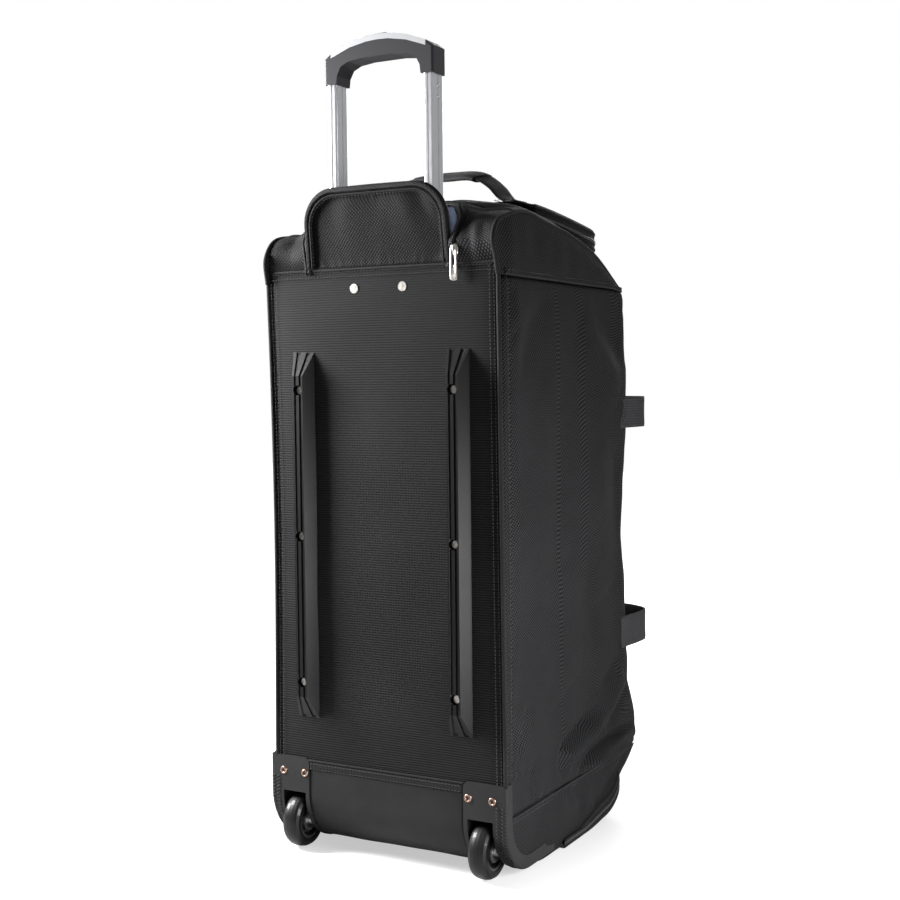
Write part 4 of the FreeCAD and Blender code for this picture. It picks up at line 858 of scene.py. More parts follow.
# The opening that the telescoping handle stands in: the half width of its rim by a turn of 0
# (at the back seam) to 90 degrees (across the top).
RIM_HALF = FLAP_HALF + 1.0
edge_right = spline([(-1.5, SEAM_Z), *SIDE_LINES["top"][1:]], 240)
edge_left = spline([(-1.5, SEAM_Z), *SIDE_LINES["top_left"][1:]], 240)
edge_crown = spline(SIDE_LINES["crown"], 240)
RIM_T = float(np.interp(50, edge_crown[60:, 0], np.linspace(0, 1, 240)[60:]))
top_noise = ripples(55, 16, 26, 90)
top_soft = ripples(56, 10, 80, 160)


# The folds over the shoulders, seen from behind: points (x, z), width, depth and roll.
SHOULDER_FOLDS = (
    (((152, 663), (136, 672), (121, 684), (109, 702)), 4.5, 5.0, 4.0),
    (((150, 671), (139, 686), (128, 706)), 4.5, 3.5, 3.5),
    (((-106, 706), (-128, 691), (-152, 667)), 8.0, 6.0, 4.0),
)


def top_point(x, t):
    """A point of the bag's top, x across and t from the back seam to the front one."""
    spot = np.linspace(0, 1, 240)
    side = np.abs(x) / (BODY_HALF - 3)
    spread = 2.6 + 4.4 * smoothstep((t - 0.22) / 0.16)
    crown = 1 - np.clip(side, 0, 1) ** spread
    corner = np.clip(np.abs(x) - (BODY_HALF - CORNER), 0, CORNER)
    plan = 1 - (CORNER - np.sqrt(np.maximum(CORNER**2 - corner**2, 0))) / (CORNER - 14)
    late = smoothstep((t - 0.72) / 0.28)
    c = crown * (1 - late) + np.clip(plan, 0, 1) * late
    right = np.where(x > 0, 1.0, 0.0)
    ey = np.interp(t, spot, edge_right[:, 0]) * right + np.interp(t, spot, edge_left[:, 0]) * (1 - right)
    ez = np.interp(t, spot, edge_right[:, 1]) * right + np.interp(t, spot, edge_left[:, 1]) * (1 - right)
    cy, cz = np.interp(t, spot, edge_crown[:, 0]), np.interp(t, spot, edge_crown[:, 1])
    y = ey + (cy - ey) * c
    z = ez + (cz - ez) * c
    fade = np.minimum(t * 9, 1) * np.minimum((1 - t) * 9, 1) * np.minimum((1 - side) * 5, 1)
    fade = np.clip(fade, 0, 1)
    slack = np.exp(-(((np.abs(x) - 118) / 22) ** 2)) * np.exp(-((y - 16) / 60) ** 2)
    sink = top_noise(x, y + z) * (1.3 + 3.0 * slack) - 6.5 * slack * (0.6 + 0.4 * np.sin(x * 0.09))
    sink = sink + top_soft(x, y + z) * 1.2
    for line, width, depth, roll in SHOULDER_FOLDS:
        sink = sink + fold(x + 0 * z, z, line, width, depth, roll) * (1 - smoothstep((y - 10) / 25))
    rise = sink * fade
    steep = np.clip((y + 2) / 30, 0, 1)
    y = y + rise * (1 - steep) * -1
    z = z + rise * steep
    return np.stack([x + 0 * t, y, z], -1)


def rim_at(turn):
    """(half width, t) of the opening's rim at a turn from 0 to 90 degrees."""
    n = 2 / 5.0
    spread = 9.5 * np.exp(-(((turn - 0.17) / 0.2) ** 2)) * smoothstep(turn / 0.05)
    return RIM_HALF * np.cos(turn) ** n + spread, RIM_T * np.sin(turn) ** n


def top_cloth():
    """The bag's top round the handle's opening and on to the front seam."""
    half = BODY_HALF - 3
    parts, pieces = [], []
    turns = np.linspace(0, math.pi / 2, 56)
    for side in (1, -1):
        rows = []
        for turn in turns:
            inner, t = rim_at(turn)
            x = side * np.linspace(inner, half, 36)
            rows.append(top_point(x, np.full_like(x, t)))
        rows = np.array(rows)
        pieces.append(rows)
        faces = lattice_faces(*rows.shape[:2])
        parts.append((rows.reshape(-1, 3), faces if side > 0 else [f[::-1] for f in faces]))
    x = np.linspace(-half, half, 71)
    rows = np.array([top_point(x, np.full_like(x, t)) for t in np.linspace(RIM_T, 1, 70)])
    pieces.append(rows)
    parts.append((rows.reshape(-1, 3), lattice_faces(*rows.shape[:2])))
    parts = [(p, faces, np.stack([p[:, 0], p[:, 1] + p[:, 2]], 1)) for p, faces in parts]
    obj = joined_piece("top_cloth", parts, SIDE_CLOTH, "side_nylon", ("top_cap",))
    flat = (2 * half / 1000, walk(edge_crown)[-1] / 1000)
    declare_cloth(thicken(obj, 1.4), "body_cloth", *pieces, flat=flat)


def bottom_cloth():
    """The underside, from behind the skirt to the low front seam."""
    foot, belly = spline(SIDE_LINES["foot"], 60), spline(SIDE_LINES["belly"], 60)
    half = BODY_HALF - 0.5
    x = np.linspace(-half, half, 61)
    side = np.abs(x) / half
    corner = np.clip(np.abs(x) - (BODY_HALF - CORNER), 0, CORNER)
    plan = 1 - (CORNER - np.sqrt(np.maximum(CORNER**2 - corner**2, 0))) / (CORNER - 15)
    rows = []
    for i in range(60):
        late = smoothstep((i / 59 - 0.6) / 0.4)
        c = (1 - side**3) * (1 - late) + np.clip(plan, 0, 1) * late
        p = foot[i] + (belly[i] - foot[i]) * c[:, None]
        rows.append(np.column_stack([x, p]))
    rows = np.array(rows)
    obj = sheet_piece("bottom_cloth", rows, ("bottom_cap",), flip=True)
    declare_cloth(obj, "base_board", rows)


def back_cloth():
    """The stiffened back's ribbed cloth, drawn tight between its piped edges."""
    rows = []
    noise = ripples(71, 12, 90, 260)
    for z in np.linspace(SKIRT_Z, SEAM_Z, 130):
        x = np.linspace(-back_half(z, -1), back_half(z, 1), 71)
        a = np.abs(np.linspace(-1, 1, 71))
        v = (z - SKIRT_Z) / (SEAM_Z - SKIRT_Z)
        y = -1.5 * (1 - a**6) * min(1, 12 * v, 12 * (1 - v)) + 1.6 * a**24
        y = y - noise(x, z) * 0.35 * (1 - a**4) * math.sin(math.pi * v) ** 0.3
        rows.append(points_at(x, y - 0.3, z))
    rows = np.array(rows)
    obj = sheet_piece("back_cloth", rows, ("back_panel",), BACK_CLOTH, "back_nylon")
    declare_cloth(obj, "body_cloth", rows)


def arc_profile(low=112.0):
    """The skirt's line down the back and round under the bag: (y, z) and its outward normal."""
    turn = np.linspace(0, math.pi / 2, 34)
    down = points_at(0.0, np.linspace(SKIRT_Z, HOUSING_ARC_Z, 14))[:-1]
    bend = points_at(HOUSING_ARC - HOUSING_ARC * np.cos(turn), HOUSING_ARC_Z - HOUSING_ARC * np.sin(turn))
    flat = points_at(np.linspace(HOUSING_ARC, low, 14), HOUSING_ARC_Z - HOUSING_ARC)[1:]
    line = np.concatenate([down, bend, flat])
    tangent = unit(np.gradient(line, axis=0))
    return line, np.stack([tangent[:, 1], -tangent[:, 0]], 1)


def skirt_cloth():
    """The coated skirt between the wheels, folded under the bag's back edge."""
    line, normal = arc_profile()
    noise = ripples(81, 12, 50, 170)
    x = np.linspace(-100.5, 100.5, 61)
    rows = []
    for i, (p, n) in enumerate(zip(line, normal)):
        swell = 1.2 + 0.45 * noise(x, i * 4.0 + 0 * x) * min(1, i / 6)
        rows.append(np.column_stack([x, p[0] + n[0] * swell, p[1] + n[1] * swell]))
    rows = np.array(rows)
    obj = sheet_piece("skirt_cloth", rows, ("scuff_guard",), SKIRT_CLOTH, "skirt", flip=True)
    declare_cloth(obj, "back_cloth", rows)


# ------------------------------------------------------------------ stitching, piping and zips
def resample(path, step):
    """Points a step apart along a path, and how far along it each one is."""
    walked = walk(path)
    count = max(2, int(walked[-1] / step) + 1)
    even = np.linspace(0, walked[-1], count)
    return np.stack([np.interp(even, walked, path[:, k]) for k in range(path.shape[1])], 1), even


STITCH_LONG, STITCH_GAP, STITCH_THICK = 3.0, 1.1, 0.85


def stitches(name, routes, body="bag", slot="piping"):
    """Rows of stitches: each route is a path and the cloth's outward normal along it."""
    parts = []
    profile = ((0.0, 0.35, -0.3), (0.3, 1.0, 0.28), (0.7, 1.0, 0.28), (1.0, 0.35, -0.3))
    turn = np.arange(5) * 2 * math.pi / 5
    for path, normal in routes:
        path = np.array(path, float)
        normal = np.broadcast_to(np.array(normal, float), path.shape)
        both = np.concatenate([path, normal], 1)
        walked = walk(path)
        for start in np.arange(0, walked[-1] - STITCH_LONG, STITCH_LONG + STITCH_GAP):
            at = [start + f * STITCH_LONG for f, _, _ in profile]
            spots = np.stack([np.interp(at, walked, both[:, k]) for k in range(6)], 1)
            ahead = unit(spots[-1, :3] - spots[0, :3])
            rings = []
            for spot, (_, size, lift) in zip(spots, profile):
                up = unit(spot[3:])
                side = np.cross(ahead, up)
                ring = np.cos(turn)[:, None] * side + np.sin(turn)[:, None] * up
                rings.append(spot[:3] + up * lift + STITCH_THICK / 2 * size * ring)
            faces = lattice_faces(4, 5, wrap=True) + [(4, 3, 2, 1, 0), (15, 16, 17, 18, 19)]
            parts.append((np.concatenate(rings), faces, np.zeros((20, 2))))
    joined_piece(name, parts, THREAD, slot, body=body)


def top_edge_path(side, out, up):
    """Along the piping over the side, from the back seam to the front corner."""
    edge = spline(SIDE_LINES["top" if side > 0 else "top_left"], 130)
    tangent = unit(np.gradient(edge, axis=0))
    normal = np.stack([-tangent[:, 1], tangent[:, 0]], 1)
    edge = edge + normal * up
    tuck = BODY_HALF - 2.4 - back_half(SEAM_Z, side)
    x = BODY_HALF - 2.4 + out - (1 - smoothstep(edge[:, 0] / 30)) * tuck * 0.9
    return points_at(side * x, *edge.T), points_at(side * 0.8, *normal.T)


def bag_piping():
    """The cords sewn into the back's long edges and over the sides."""
    routes = []
    for side in (1, -1):
        z = np.linspace(SKIRT_Z + 2, TOP_SEAM_Z + 2, 120)
        routes.append((points_at(side * (back_half(z, side) + 0.4), -0.2, z), (side * 0.5, -0.9, 0)))
        routes.append(top_edge_path(side, 0.3, 0.6))
    cords = [swept(path, normal, round_section(2.5, 12)) for path, normal in routes]
    joined_piece("edge_piping", cords, EDGING, "piping", ("side_piping",))


def plan_run(z, out):
    """Both sides and the front at a level seam, with outward normals."""
    outline = wrap_outline(z)
    tangent = unit(np.gradient(outline, axis=0))
    normal = np.stack([tangent[:, 1], -tangent[:, 0]], 1)
    normal = normal * np.sign(np.sum(normal * (outline - BODY_MIDDLE), axis=1))[:, None]
    return points_at(*(outline + normal * out).T, z), points_at(*normal.T, 0)


def rib_band(width, thick):
    """A folded seam's section: a low rounded ridge."""
    a = np.linspace(0, math.pi, 7)
    top = np.stack([np.cos(a) * width / 2, np.sin(a) * thick], 1)
    return np.concatenate([top, [(-width / 2, -0.8), (width / 2, -0.8)]])


def felled_seams():
    """The level seams of the sides, folded over and stitched down in two rows."""
    parts, rows = [], []
    for z, width in ((TOP_SEAM_Z + 3.2, 6.4), (LOW_SEAM_Z - 3.0, 6.0)):
        seam = np.clip(z, LOW_SEAM_Z, TOP_SEAM_Z)
        path, normal = plan_run(seam, 0.5)
        path[:, 2] = z + (seam - z) * smoothstep((path[:, 1] - 290) / 50)
        keep = path[:, 1] > 9
        path, normal = path[keep], normal[keep]
        parts.append(swept(path, normal, rib_band(width, 1.8)))
        for step in (-0.36, 0.36):
            row = path + (0, 0, width * step)
            rows.append((row + normal * 1.35, normal))
    joined_piece("felled_seams", parts, SIDE_CLOTH, "side_nylon")
    stitches("felled_stitches", rows)


def back_stitches():
    """Two rows of stitches inside each edge of the back, and one beside it on each side."""
    rows = []
    out = (0, -1, 0)
    for side in (1, -1):
        z = np.linspace(SKIRT_Z + 4, SEAM_Z - 1, 90)
        for inset, y in ((4.2, -1.15), (9.2, -1.75)):
            rows.append((points_at(side * (back_half(z, side) - inset), y, z), out))
        z = np.linspace(SKIRT_Z + 10, TOP_SEAM_Z - 4, 90)
        x = side * (side_base(np.full_like(z, 17.5), z, side) + 0.2)
        rows.append((points_at(x, 17.5, z), (side, 0, 0)))
    for half, y, z in (
        (BODY_HALF - 9, -1.8, SEAM_Z - 3.0),
        (BODY_HALF - 9, -1.8, SEAM_Z - 8.5),
        (99, -2.1, SKIRT_Z - 2.4),
        (99, -2.1, SKIRT_Z - 8.0),
    ):
        rows.append((points_at(np.linspace(-half, half, 60), y, z), out))
    stitches("back_stitches", rows)


def level_folds():
    """The turned edges at the back's top and bottom seams."""
    parts = []
    for z, half, y, section in (
        (SEAM_Z - 0.6, BODY_HALF - 4, -1.0, rib_band(3.4, 1.1)),
        (SKIRT_Z + 0.8, 102, -0.9, rib_band(3.0, 1.3)),
        (SKIRT_Z - 5.2, 100.3, -1.3, flat_section(9.0, 1.6, 9, -0.5)),
    ):
        parts.append(swept(points_at(np.linspace(-half, half, 80), y, z), (0, -1, 0), section))
    joined_piece("level_folds", parts, EDGING, "back_nylon")


def zip_piece(name, path, normals, width, replaces=(), body="bag"):
    """A zip along a path: its tape, and the coil standing on it."""
    tape = swept(path, normals, flat_section(width, 0.9, 7))
    mesh_piece(name + "_tape", *tape, EDGING, "zip", replaces, body)
    turn = np.linspace(0, 2 * math.pi, 9)[:-1]
    section = np.stack([np.cos(turn) * 2.1, np.sin(turn) * 1.0], 1)
    raised = path + unit(np.broadcast_to(normals, path.shape)) * 0.7
    mesh_piece(name + "_coil", *swept(raised, normals, section), ZIP, "zip", (), body)


def main_zip():
    """The main zip, down the middle of the front."""
    low, high = node_box("main_zip")
    z = np.linspace(low[2] + 1, high[2] + 1, 120)
    path = points_at(0, front_line(z) + 0.9, z)
    normals = unit(points_at(0, 1, -np.gradient(path[:, 1], z)))
    zip_piece("main_zip", path, normals, 26.0, ("main_zip",))


# ------------------------------------------------------------------ pockets
def rounded_u(half, back, front, radius):
    """A pocket's outline in plan, from its right back corner round the front to the left."""
    turn = np.linspace(0, math.pi / 2, 16)
    side = points_at(half, np.linspace(back, front - radius, 20))[:-1]
    bend = points_at(half - radius + radius * np.cos(turn), front - radius + radius * np.sin(turn))
    over = points_at(np.linspace(half - radius, -(half - radius), 26), front)[1:-1]
    right = np.concatenate([side, bend])
    line = np.concatenate([right, over, (right * (-1, 1))[::-1]])
    return resample(line, np.linalg.norm(np.diff(line, axis=0), axis=1).sum() / 90)[0]


def ring_normals(ring, centre):
    """Level normals along an outline in plan, pointing away from its centre."""
    normal = unit(points_at(np.gradient(ring[:, 1]), -np.gradient(ring[:, 0]), 0))
    return normal * np.sign(np.sum(normal[:, :2] * (ring - centre), axis=1))[:, None]


def closed_u(outline):
    """The same outline with its straight back edge added, back to where it starts."""
    back = outline[-1] + (outline[0] - outline[-1]) * np.linspace(0, 1, 26)[1:, None]
    return np.concatenate([outline, back])


POCKET_LOW, POCKET_HIGH = node_box("top_pocket")


def blank_size(points, tall):
    """The rectangle, in metres, that a pocket with a wall so tall is cut from."""
    return tuple(float(np.ptp(points[..., k]) + 2 * tall) / 1000 for k in (0, 1))


def lid_height(y):
    """The top pocket's lid, sloping down to the front."""
    t = np.clip((y - POCKET_LOW[1]) / (POCKET_HIGH[1] - POCKET_LOW[1]), 0, 1)
    return POCKET_HIGH[2] + 0.5 - 20 * t**1.35


def top_pocket():
    """The end pocket's domed lid and its deep wall with the zip run between two folds."""
    half = POCKET_HIGH[0] - 4
    back, front = POCKET_LOW[1] - 4, POCKET_HIGH[1] + 1
    open_run = rounded_u(half, back, front, 52)
    outline = closed_u(open_run)
    centre = np.array([0, (back + front) / 2])
    noise = ripples(91, 14, 30, 110)
    rows = []
    for f in np.linspace(0.0, 1, 26):
        ring = centre + (outline - centre) * (0.002 + 0.998 * f)
        crumple = noise(ring[:, 0], ring[:, 1]) * 1.7 * (1 - f**5)
        rows.append(np.column_stack([ring, lid_height(ring[:, 1]) + 6.0 * (1 - f**3) - 2.0 + crumple]))
    for drop, out in ((1.0, 1.2), (3.0, 1.9), (5.5, 1.4), (8.0, 0.4)):
        ring = centre + (outline - centre) * (1 + out / 130)
        rows.append(np.column_stack([ring, lid_height(ring[:, 1]) - drop]))
    for drop in np.linspace(9, 56, 16):
        t = (drop - 9) / 47
        size = 1 + (0.2 + 1.6 * math.sin(math.pi * min(t * 1.4, 1))) / 130 - 0.012 * t
        crumple = noise(outline[:, 0] + 500, outline[:, 1] - drop) * 0.8 * t
        ring = centre + (outline - centre) * size + unit(outline - centre) * crumple[:, None]
        rows.append(np.column_stack([ring, lid_height(ring[:, 1]) - drop]))
    points = np.array(rows)
    uv = points[..., :2].copy()
    uv[28:] = points_at(walk(outline), points[28:, :, 2])
    obj = sheet_piece("top_pocket_cloth", points, ("top_pocket",), uv=uv)
    declare_cloth(obj, "top_cloth", points, flat=blank_size(points, 56))
    ring = centre + (open_run - centre) * (1 + 2.4 / 130)
    normal = ring_normals(ring, centre)

    def on_wall(drop):
        return np.column_stack([ring, lid_height(ring[:, 1]) - drop])

    zip_piece("top_pocket_zip", on_wall(13.5), normal, 11.0, ("top_pocket_zip",))
    cords = [swept(on_wall(drop) - normal * 0.6, normal, round_section(1.9, 8)) for drop in (3.2, 22.0)]
    joined_piece("top_pocket_piping", cords, EDGING, "piping")


def bottom_pocket():
    """The end pocket under the bag, a shallow slab with its own zip and piping."""
    half, back, front = BODY_HALF + 1.6, 142.0, node_box("bottom_pocket")[1][1]
    open_run = rounded_u(half, back, front, 50)
    outline = closed_u(open_run)
    centre = np.array([0, (back + front) / 2])
    noise = ripples(95, 12, 40, 120)
    edge_under = curve([(118, 2.2), (182, 0.8), (242, 1.0), (285, 8), (303, 18), (320, 28), (344, 44)])
    middle_under = curve([(118, 2.2), (242, 1.6), (344, 5)])

    def under(x, y):
        """The pocket's underside: flat in the middle, swept up at both of its front corners."""
        swept_up = smoothstep((np.abs(x) - 92) / 44)
        return middle_under(y) * (1 - swept_up) + edge_under(y) * swept_up

    def wall(out, share, outline=outline, lowest=1.8):
        ring = centre + (outline - centre) * (1 + out / 130)
        x, y = ring[:, 0], ring[:, 1]
        tall = 3 + 19 * smoothstep((y - 150) / 110) + 5 * (1 - smoothstep((np.abs(x) - 92) / 44))
        return np.column_stack([ring, np.maximum(under(x, y - out * 0.6) + share * tall, lowest)])

    rows = []
    for f in np.linspace(0.02, 1, 24):
        ring = centre + (outline - centre) * f
        z = under(ring[:, 0], ring[:, 1]) + 0.4 + noise(ring[:, 0], ring[:, 1]) * 0.7 * (1 - f**4)
        rows.append(np.column_stack([ring, np.maximum(z, 1.8)]))
    for out, share in (
        (1.6, 0.08),
        (2.4, 0.2),
        (2.0, 0.32),
        (2.6, 0.44),
        (2.8, 0.6),
        (2.2, 0.8),
        (0.6, 0.98),
        (-5, 1.1),
    ):
        rows.append(wall(out, share))
    rows = np.array(rows)
    obj = sheet_piece("bottom_pocket_cloth", rows, ("bottom_pocket",), flip=True)
    declare_cloth(obj, "bottom_cloth", rows, flat=blank_size(rows, 25))
    ring = wall(3.2, 0.5, open_run, 6.5)
    normal = unit(ring_normals(ring[:, :2], centre) - (0, 0, 0.25))
    zip_piece("bottom_pocket_zip", ring, normal, 9.0, ("bottom_pocket_zip",))
    cords = []
    for share in (0.18, 0.95):
        cords.append(swept(wall(2.8, share, open_run, 2.6), normal, round_section(2.0, 8)))
    joined_piece("bottom_pocket_piping", cords, EDGING, "piping")


# ------------------------------------------------------------------ the handle's opening and its flap
def on_top(side, half, t):
    """Points of the bag's top on one side, at half widths and places along it."""
    return np.array([top_point(np.array([side * h]), np.array([s]))[0] for h, s in zip(half, t)])


def rim_line():
    """The opening's rim from its right foot over to its left one."""
    half, t = rim_at(np.linspace(0, math.pi / 2, 60))
    return np.concatenate([on_top(1, half, t), on_top(-1, half, t)[::-1][1:]])


def opening_rim():
    """Binding and the fixed half of the flap's zip, round the opening."""
    line = resample(rim_line(), 3.0)[0]
    line = np.concatenate([[(RIM_HALF, -3.5, SEAM_Z - 4)], line, [(-RIM_HALF, -3.5, SEAM_Z - 4)]])
    line = resample(line, 3.0)[0]
    out = unit(line - (0, 22, 690.0))
    mesh_piece("rim_binding", *swept(line + out * 0.6, out, round_section(2.2, 10)), EDGING, "piping")
    inner = line - out * (3.2, 3.2, 2.4) + (0, -0.6, 0)
    zip_piece("rim_zip", inner, unit((0, -0.5, 0.6) - out * 0.2), 7.0)
    turns = np.linspace(0.12, math.pi / 2, 70)
    half, t = rim_at(turns)
    wide, late = half + 6.0 * np.cos(turns) ** 0.4, t + 0.016 * np.sin(turns) ** 0.4
    rows = []
    for side in (1, -1):
        row = on_top(side, wide, late)
        away = unit(row - (0, 40, 640))
        rows.append((row + away * 0.3, away))
    stitches("rim_stitches", rows)


WELL_Z = 636.0


def well_cloth():
    """The crumpled lining of the space that the telescoping handle slides into."""
    rim = resample(rim_line(), 3.6)[0]
    count = len(rim)
    x, y = rounded(np.linspace(0, math.pi, count), 84.5, 34.0, 1 / 3, 1 / 3).T
    foot = points_at(x, 3.0 + np.abs(y), WELL_Z)
    noise = ripples(101, 18, 16, 60)
    inward = unit(np.array([0, 14, 0]) - foot * (1, 1, 0))
    rows = []
    for f in np.linspace(0, 1, 44):
        drawn = float(smoothstep(f * 1.8))
        row = rim * (1 - drawn) + foot * drawn
        row[:, 2] = rim[:, 2] * (1 - f) + WELL_Z * f
        crumple = noise(np.arange(count) * 3.6, row[:, 2]) * 3.2
        crumple = crumple * math.sin(math.pi * min(f * 1.1, 1)) ** 0.5
        rows.append(row + inward * (crumple + 1.5)[:, None])
    back = []
    for z in np.linspace(WELL_Z, SEAM_Z - 1, 12):
        x = np.linspace(-83, 83, 60)
        back.append(points_at(x, 3.4 + 0.5 * noise(x, 0 * x + z), z))
    lattices = np.array(rows), np.array(back)
    parts = []
    for grid in lattices:
        faces = [f[::-1] for f in lattice_faces(*grid.shape[:2])]
        uv = np.stack([grid[..., 0] + grid[..., 1], grid[..., 2]], 2).reshape(-1, 2)
        parts.append((grid.reshape(-1, 3), faces, uv))
    obj = joined_piece("well_cloth", parts, LINING, "lining", ("trolley_well_lining",))
    declare_cloth(thicken(obj, 0.6), "top_cloth", *lattices)


FLAP_TOP = node_box("flap_binding")[1][2] - 0.6
FLAP_SIDE = FLAP_HALF - 1.5
FLAP_LEAN = math.tan(math.radians(7))
FLAP_CORNER = 37.0
# The flap's long folds: where each is at the top, how far it drifts, its width and its height.
FLAP_FOLDS = (
    (-58, 14, 13, -1.2),
    (-30, 10, 14, 1.2),
    (2, -10, 12, -1.3),
    (34, 30, 11, 1.8),
    (52, 44, 8, -2.2),
    (72, 18, 10, 1.2),
)


def flap_width(v, half):
    """The flap's half width at a height over its hinge."""
    tall = FLAP_TOP - SEAM_Z
    rise = np.clip(v - (tall - FLAP_CORNER), 0, FLAP_CORNER - 0.4)
    return half - FLAP_CORNER + np.sqrt(np.maximum(FLAP_CORNER**2 - rise**2, 0))


def flap_outline(half, inset=0.0, out=0.0):
    """A line round the flap's free edge, so far in from it and out from its face."""
    tall = FLAP_TOP - SEAM_Z - inset
    r = FLAP_CORNER - inset * 0.6
    turn = np.linspace(0, math.pi / 2, 20)
    right = points_at(half - inset, np.linspace(1.5, tall - r, 20))
    bend = points_at(half - inset - r + r * np.cos(turn), tall - r + r * np.sin(turn))[1:]
    over = points_at(np.linspace(half - inset - r, 0, 22), tall)[1:]
    line = np.concatenate([right, bend, over])
    line = np.concatenate([line, (line * (-1, 1))[::-1][1:]])
    line = resample(line, 3.0)[0]
    y = -line[:, 1] * FLAP_LEAN - 1.2 - out
    x = line[:, 0] * (1 - 0.02 * line[:, 1] / FLAP_HALF)
    return np.column_stack([x, y, SEAM_Z + line[:, 1]])


def flap():
    """The U-shaped flap over the handle's opening, bound and zipped round its free edge."""
    tall = FLAP_TOP - SEAM_Z - 1.5
    noise = ripples(111, 12, 26, 80)
    rows = []
    for v in 1.2 + (tall - 1.2) * np.sin(np.linspace(0, math.pi / 2, 46)):
        half = flap_width(v, FLAP_SIDE - 1.5 - 0.02 * v)
        x = np.linspace(-half, half, 61)
        a = np.abs(x) / half
        hang = (v / tall) ** 1.2
        free = (1 - a**4) * (1 - (v / tall) ** 10)
        rise = 0.0
        for at, drift, wide, high in FLAP_FOLDS:
            rise = rise + high * np.exp(-(((x - at - drift * (1 - v / tall)) / wide) ** 2)) * hang**0.8
        y = -v * FLAP_LEAN - 1.4 - rise * free - noise(x, v * 0.5) * free * hang
        y = y - 1.5 * (1 - a**4) * math.sin(math.pi * min(v / tall, 1)) ** 0.6
        rows.append(points_at(x, y, SEAM_Z + v))
    rows = np.array(rows)
    rows = settled(rows, edge_held(*rows.shape[:2]), cap=2.2, pressure=-1.5, slack=0.03)
    obj = sheet_piece(
        "flap_cloth", rows, ("trolley_flap",), FLAP_CLOTH, "back_nylon", thick=2.6, body="flap"
    )
    edge = flap_outline(FLAP_SIDE - 0.6)
    centre = np.array([0, edge[:, 1].mean(), SEAM_Z + 30])
    inner = flap_outline(FLAP_SIDE, 7.6, 1.5)
    cords = [
        swept(edge, (0, -1, 0), flat_section(5.4, 5.6, 7)),
        swept(flap_outline(FLAP_SIDE, 5.6, 1.9), (0, -1, 0), round_section(1.1, 8)),
        swept(flap_outline(FLAP_SIDE, 3.0, -2.6), (0, 1, 0), flat_section(6.0, 1.2, 7)),
    ]
    joined_piece("flap_edge", cords, EDGING, "piping", ("flap_binding",), "flap")
    out = unit((edge - centre) * (1, 0, 1))
    zip_piece("flap_zip", edge + out * 2.0 + (0, 2.4, 0), unit(out + (0, 0.6, 0)), 4.5, body="flap")
    stitches("flap_stitches", [(inner, (0, -1, 0))], body="flap")


# ------------------------------------------------------------------ handles of webbing
STRAP_WIDE = 39.0


def strap(name, path, normals, cup, node):
    """A webbing strap along a path."""
    part = swept(path, normals, flat_section(STRAP_WIDE, 2.2, 11, cup))
    obj = mesh_piece(name, *part, STRAP, "webbing", (node,))


def carry_straps():
    """The pair of webbing handles over the front, each sewn down on the sides."""
    plan = [(326, 150.9), (346, 151.4), (374, 154), (408, 150.5), (429, 124), (435.5, 96), (436.6, 76)]
    faces_out = [(1, 0), (1, 0.02), (1, 0.12), (0.8, 0.55), (0.3, 0.95), (0.05, 1), (0, 1)]
    hang = [(52, 437, 490), (30, 437.2, 462), (21.5, 437, 425), (20.5, 436.6, 359)]
    hang += [(21.5, 437, 293), (30, 437.2, 256), (52, 437, 228)]
    high, low = 498, 220
    for side, name in ((-1, "left"), (1, "right")):
        run = [(x, y, high) for y, x in plan] + hang + [(x, y, low) for y, x in plan[::-1]]
        out = [(a, b, 0) for a, b in faces_out]
        out = out + [(0, 1, 0)] * len(hang) + out[::-1]
        run, out = np.array(run) * (side, 1, 1), np.array(out) * (side, 1, 1)
        both = spline(np.concatenate([run, out * 12.0], 1), 210)
        path, normals = both[:, :3], unit(both[:, 3:])
        wave = ripples(120 + side, 6, 60, 160)(path[:, 0], path[:, 2])
        path = path + normals * (wave * 0.5)[:, None]
        strap(f"carry_strap_{name}", path, normals, 0.5, f"carry_handle_{name}")
        rows = []
        for z in (high, low):
            for edge in (-16.5, 16.5):
                rows.append(points_at(side * 152.4, np.linspace(330, 352, 8), z + edge))
            for y in (330.5, 352):
                rows.append(points_at(side * 152.5, y, np.linspace(z - 16, z + 16, 10)))
            for a in (-16, 16):
                across, up = np.linspace(331, 351, 8), np.linspace(z + a, z - a, 8)
                rows.append(points_at(side * 152.4, across, up))
        stitches(f"carry_stitches_{name}", [(row, (side, 0, 0)) for row in rows], slot="webbing")


def carry_wrap():
    """The padded wrap that holds both carry handles together."""
    low, high = node_box("carry_grip")
    wide, deep, _ = (high - low) / 2
    middle = (high + low) / 2
    section = rounded(full_turn(32), wide, deep, 0.55, 0.8)
    z = np.linspace(low[2], high[2], 60)
    noise = ripples(131, 8, 30, 90)
    rows = []
    for h in z:
        rib = 1 + 0.02 * math.sin((h - low[2]) / 12.4 * math.pi)
        neck = 0.93 + 0.07 * math.sin(math.pi * min(max((h - low[2]) / 124, 0.02), 0.98)) ** 0.3
        ring = section * rib * neck * (1 + 0.02 * noise(section[:, 0], h + 0 * section[:, 0]))[:, None]
        rows.append(points_at(*(middle[:2] + ring).T, h))
    points = np.array(rows).reshape(-1, 3)
    faces = lattice_faces(60, 32, wrap=True) + [tuple(range(32))[::-1], tuple(range(59 * 32, 60 * 32))]
    uv = np.stack(np.meshgrid(walk(section), z), 2).reshape(-1, 2)
    obj = mesh_piece("carry_wrap", points, faces, uv, STRAP, "webbing", ("carry_grip",))
    edge = points_at(middle[0], high[1] + 0.1, np.linspace(*z[[2, -3]], 40))
    stitches("wrap_stitches", [(edge, (0, 1, 0))], slot="webbing")


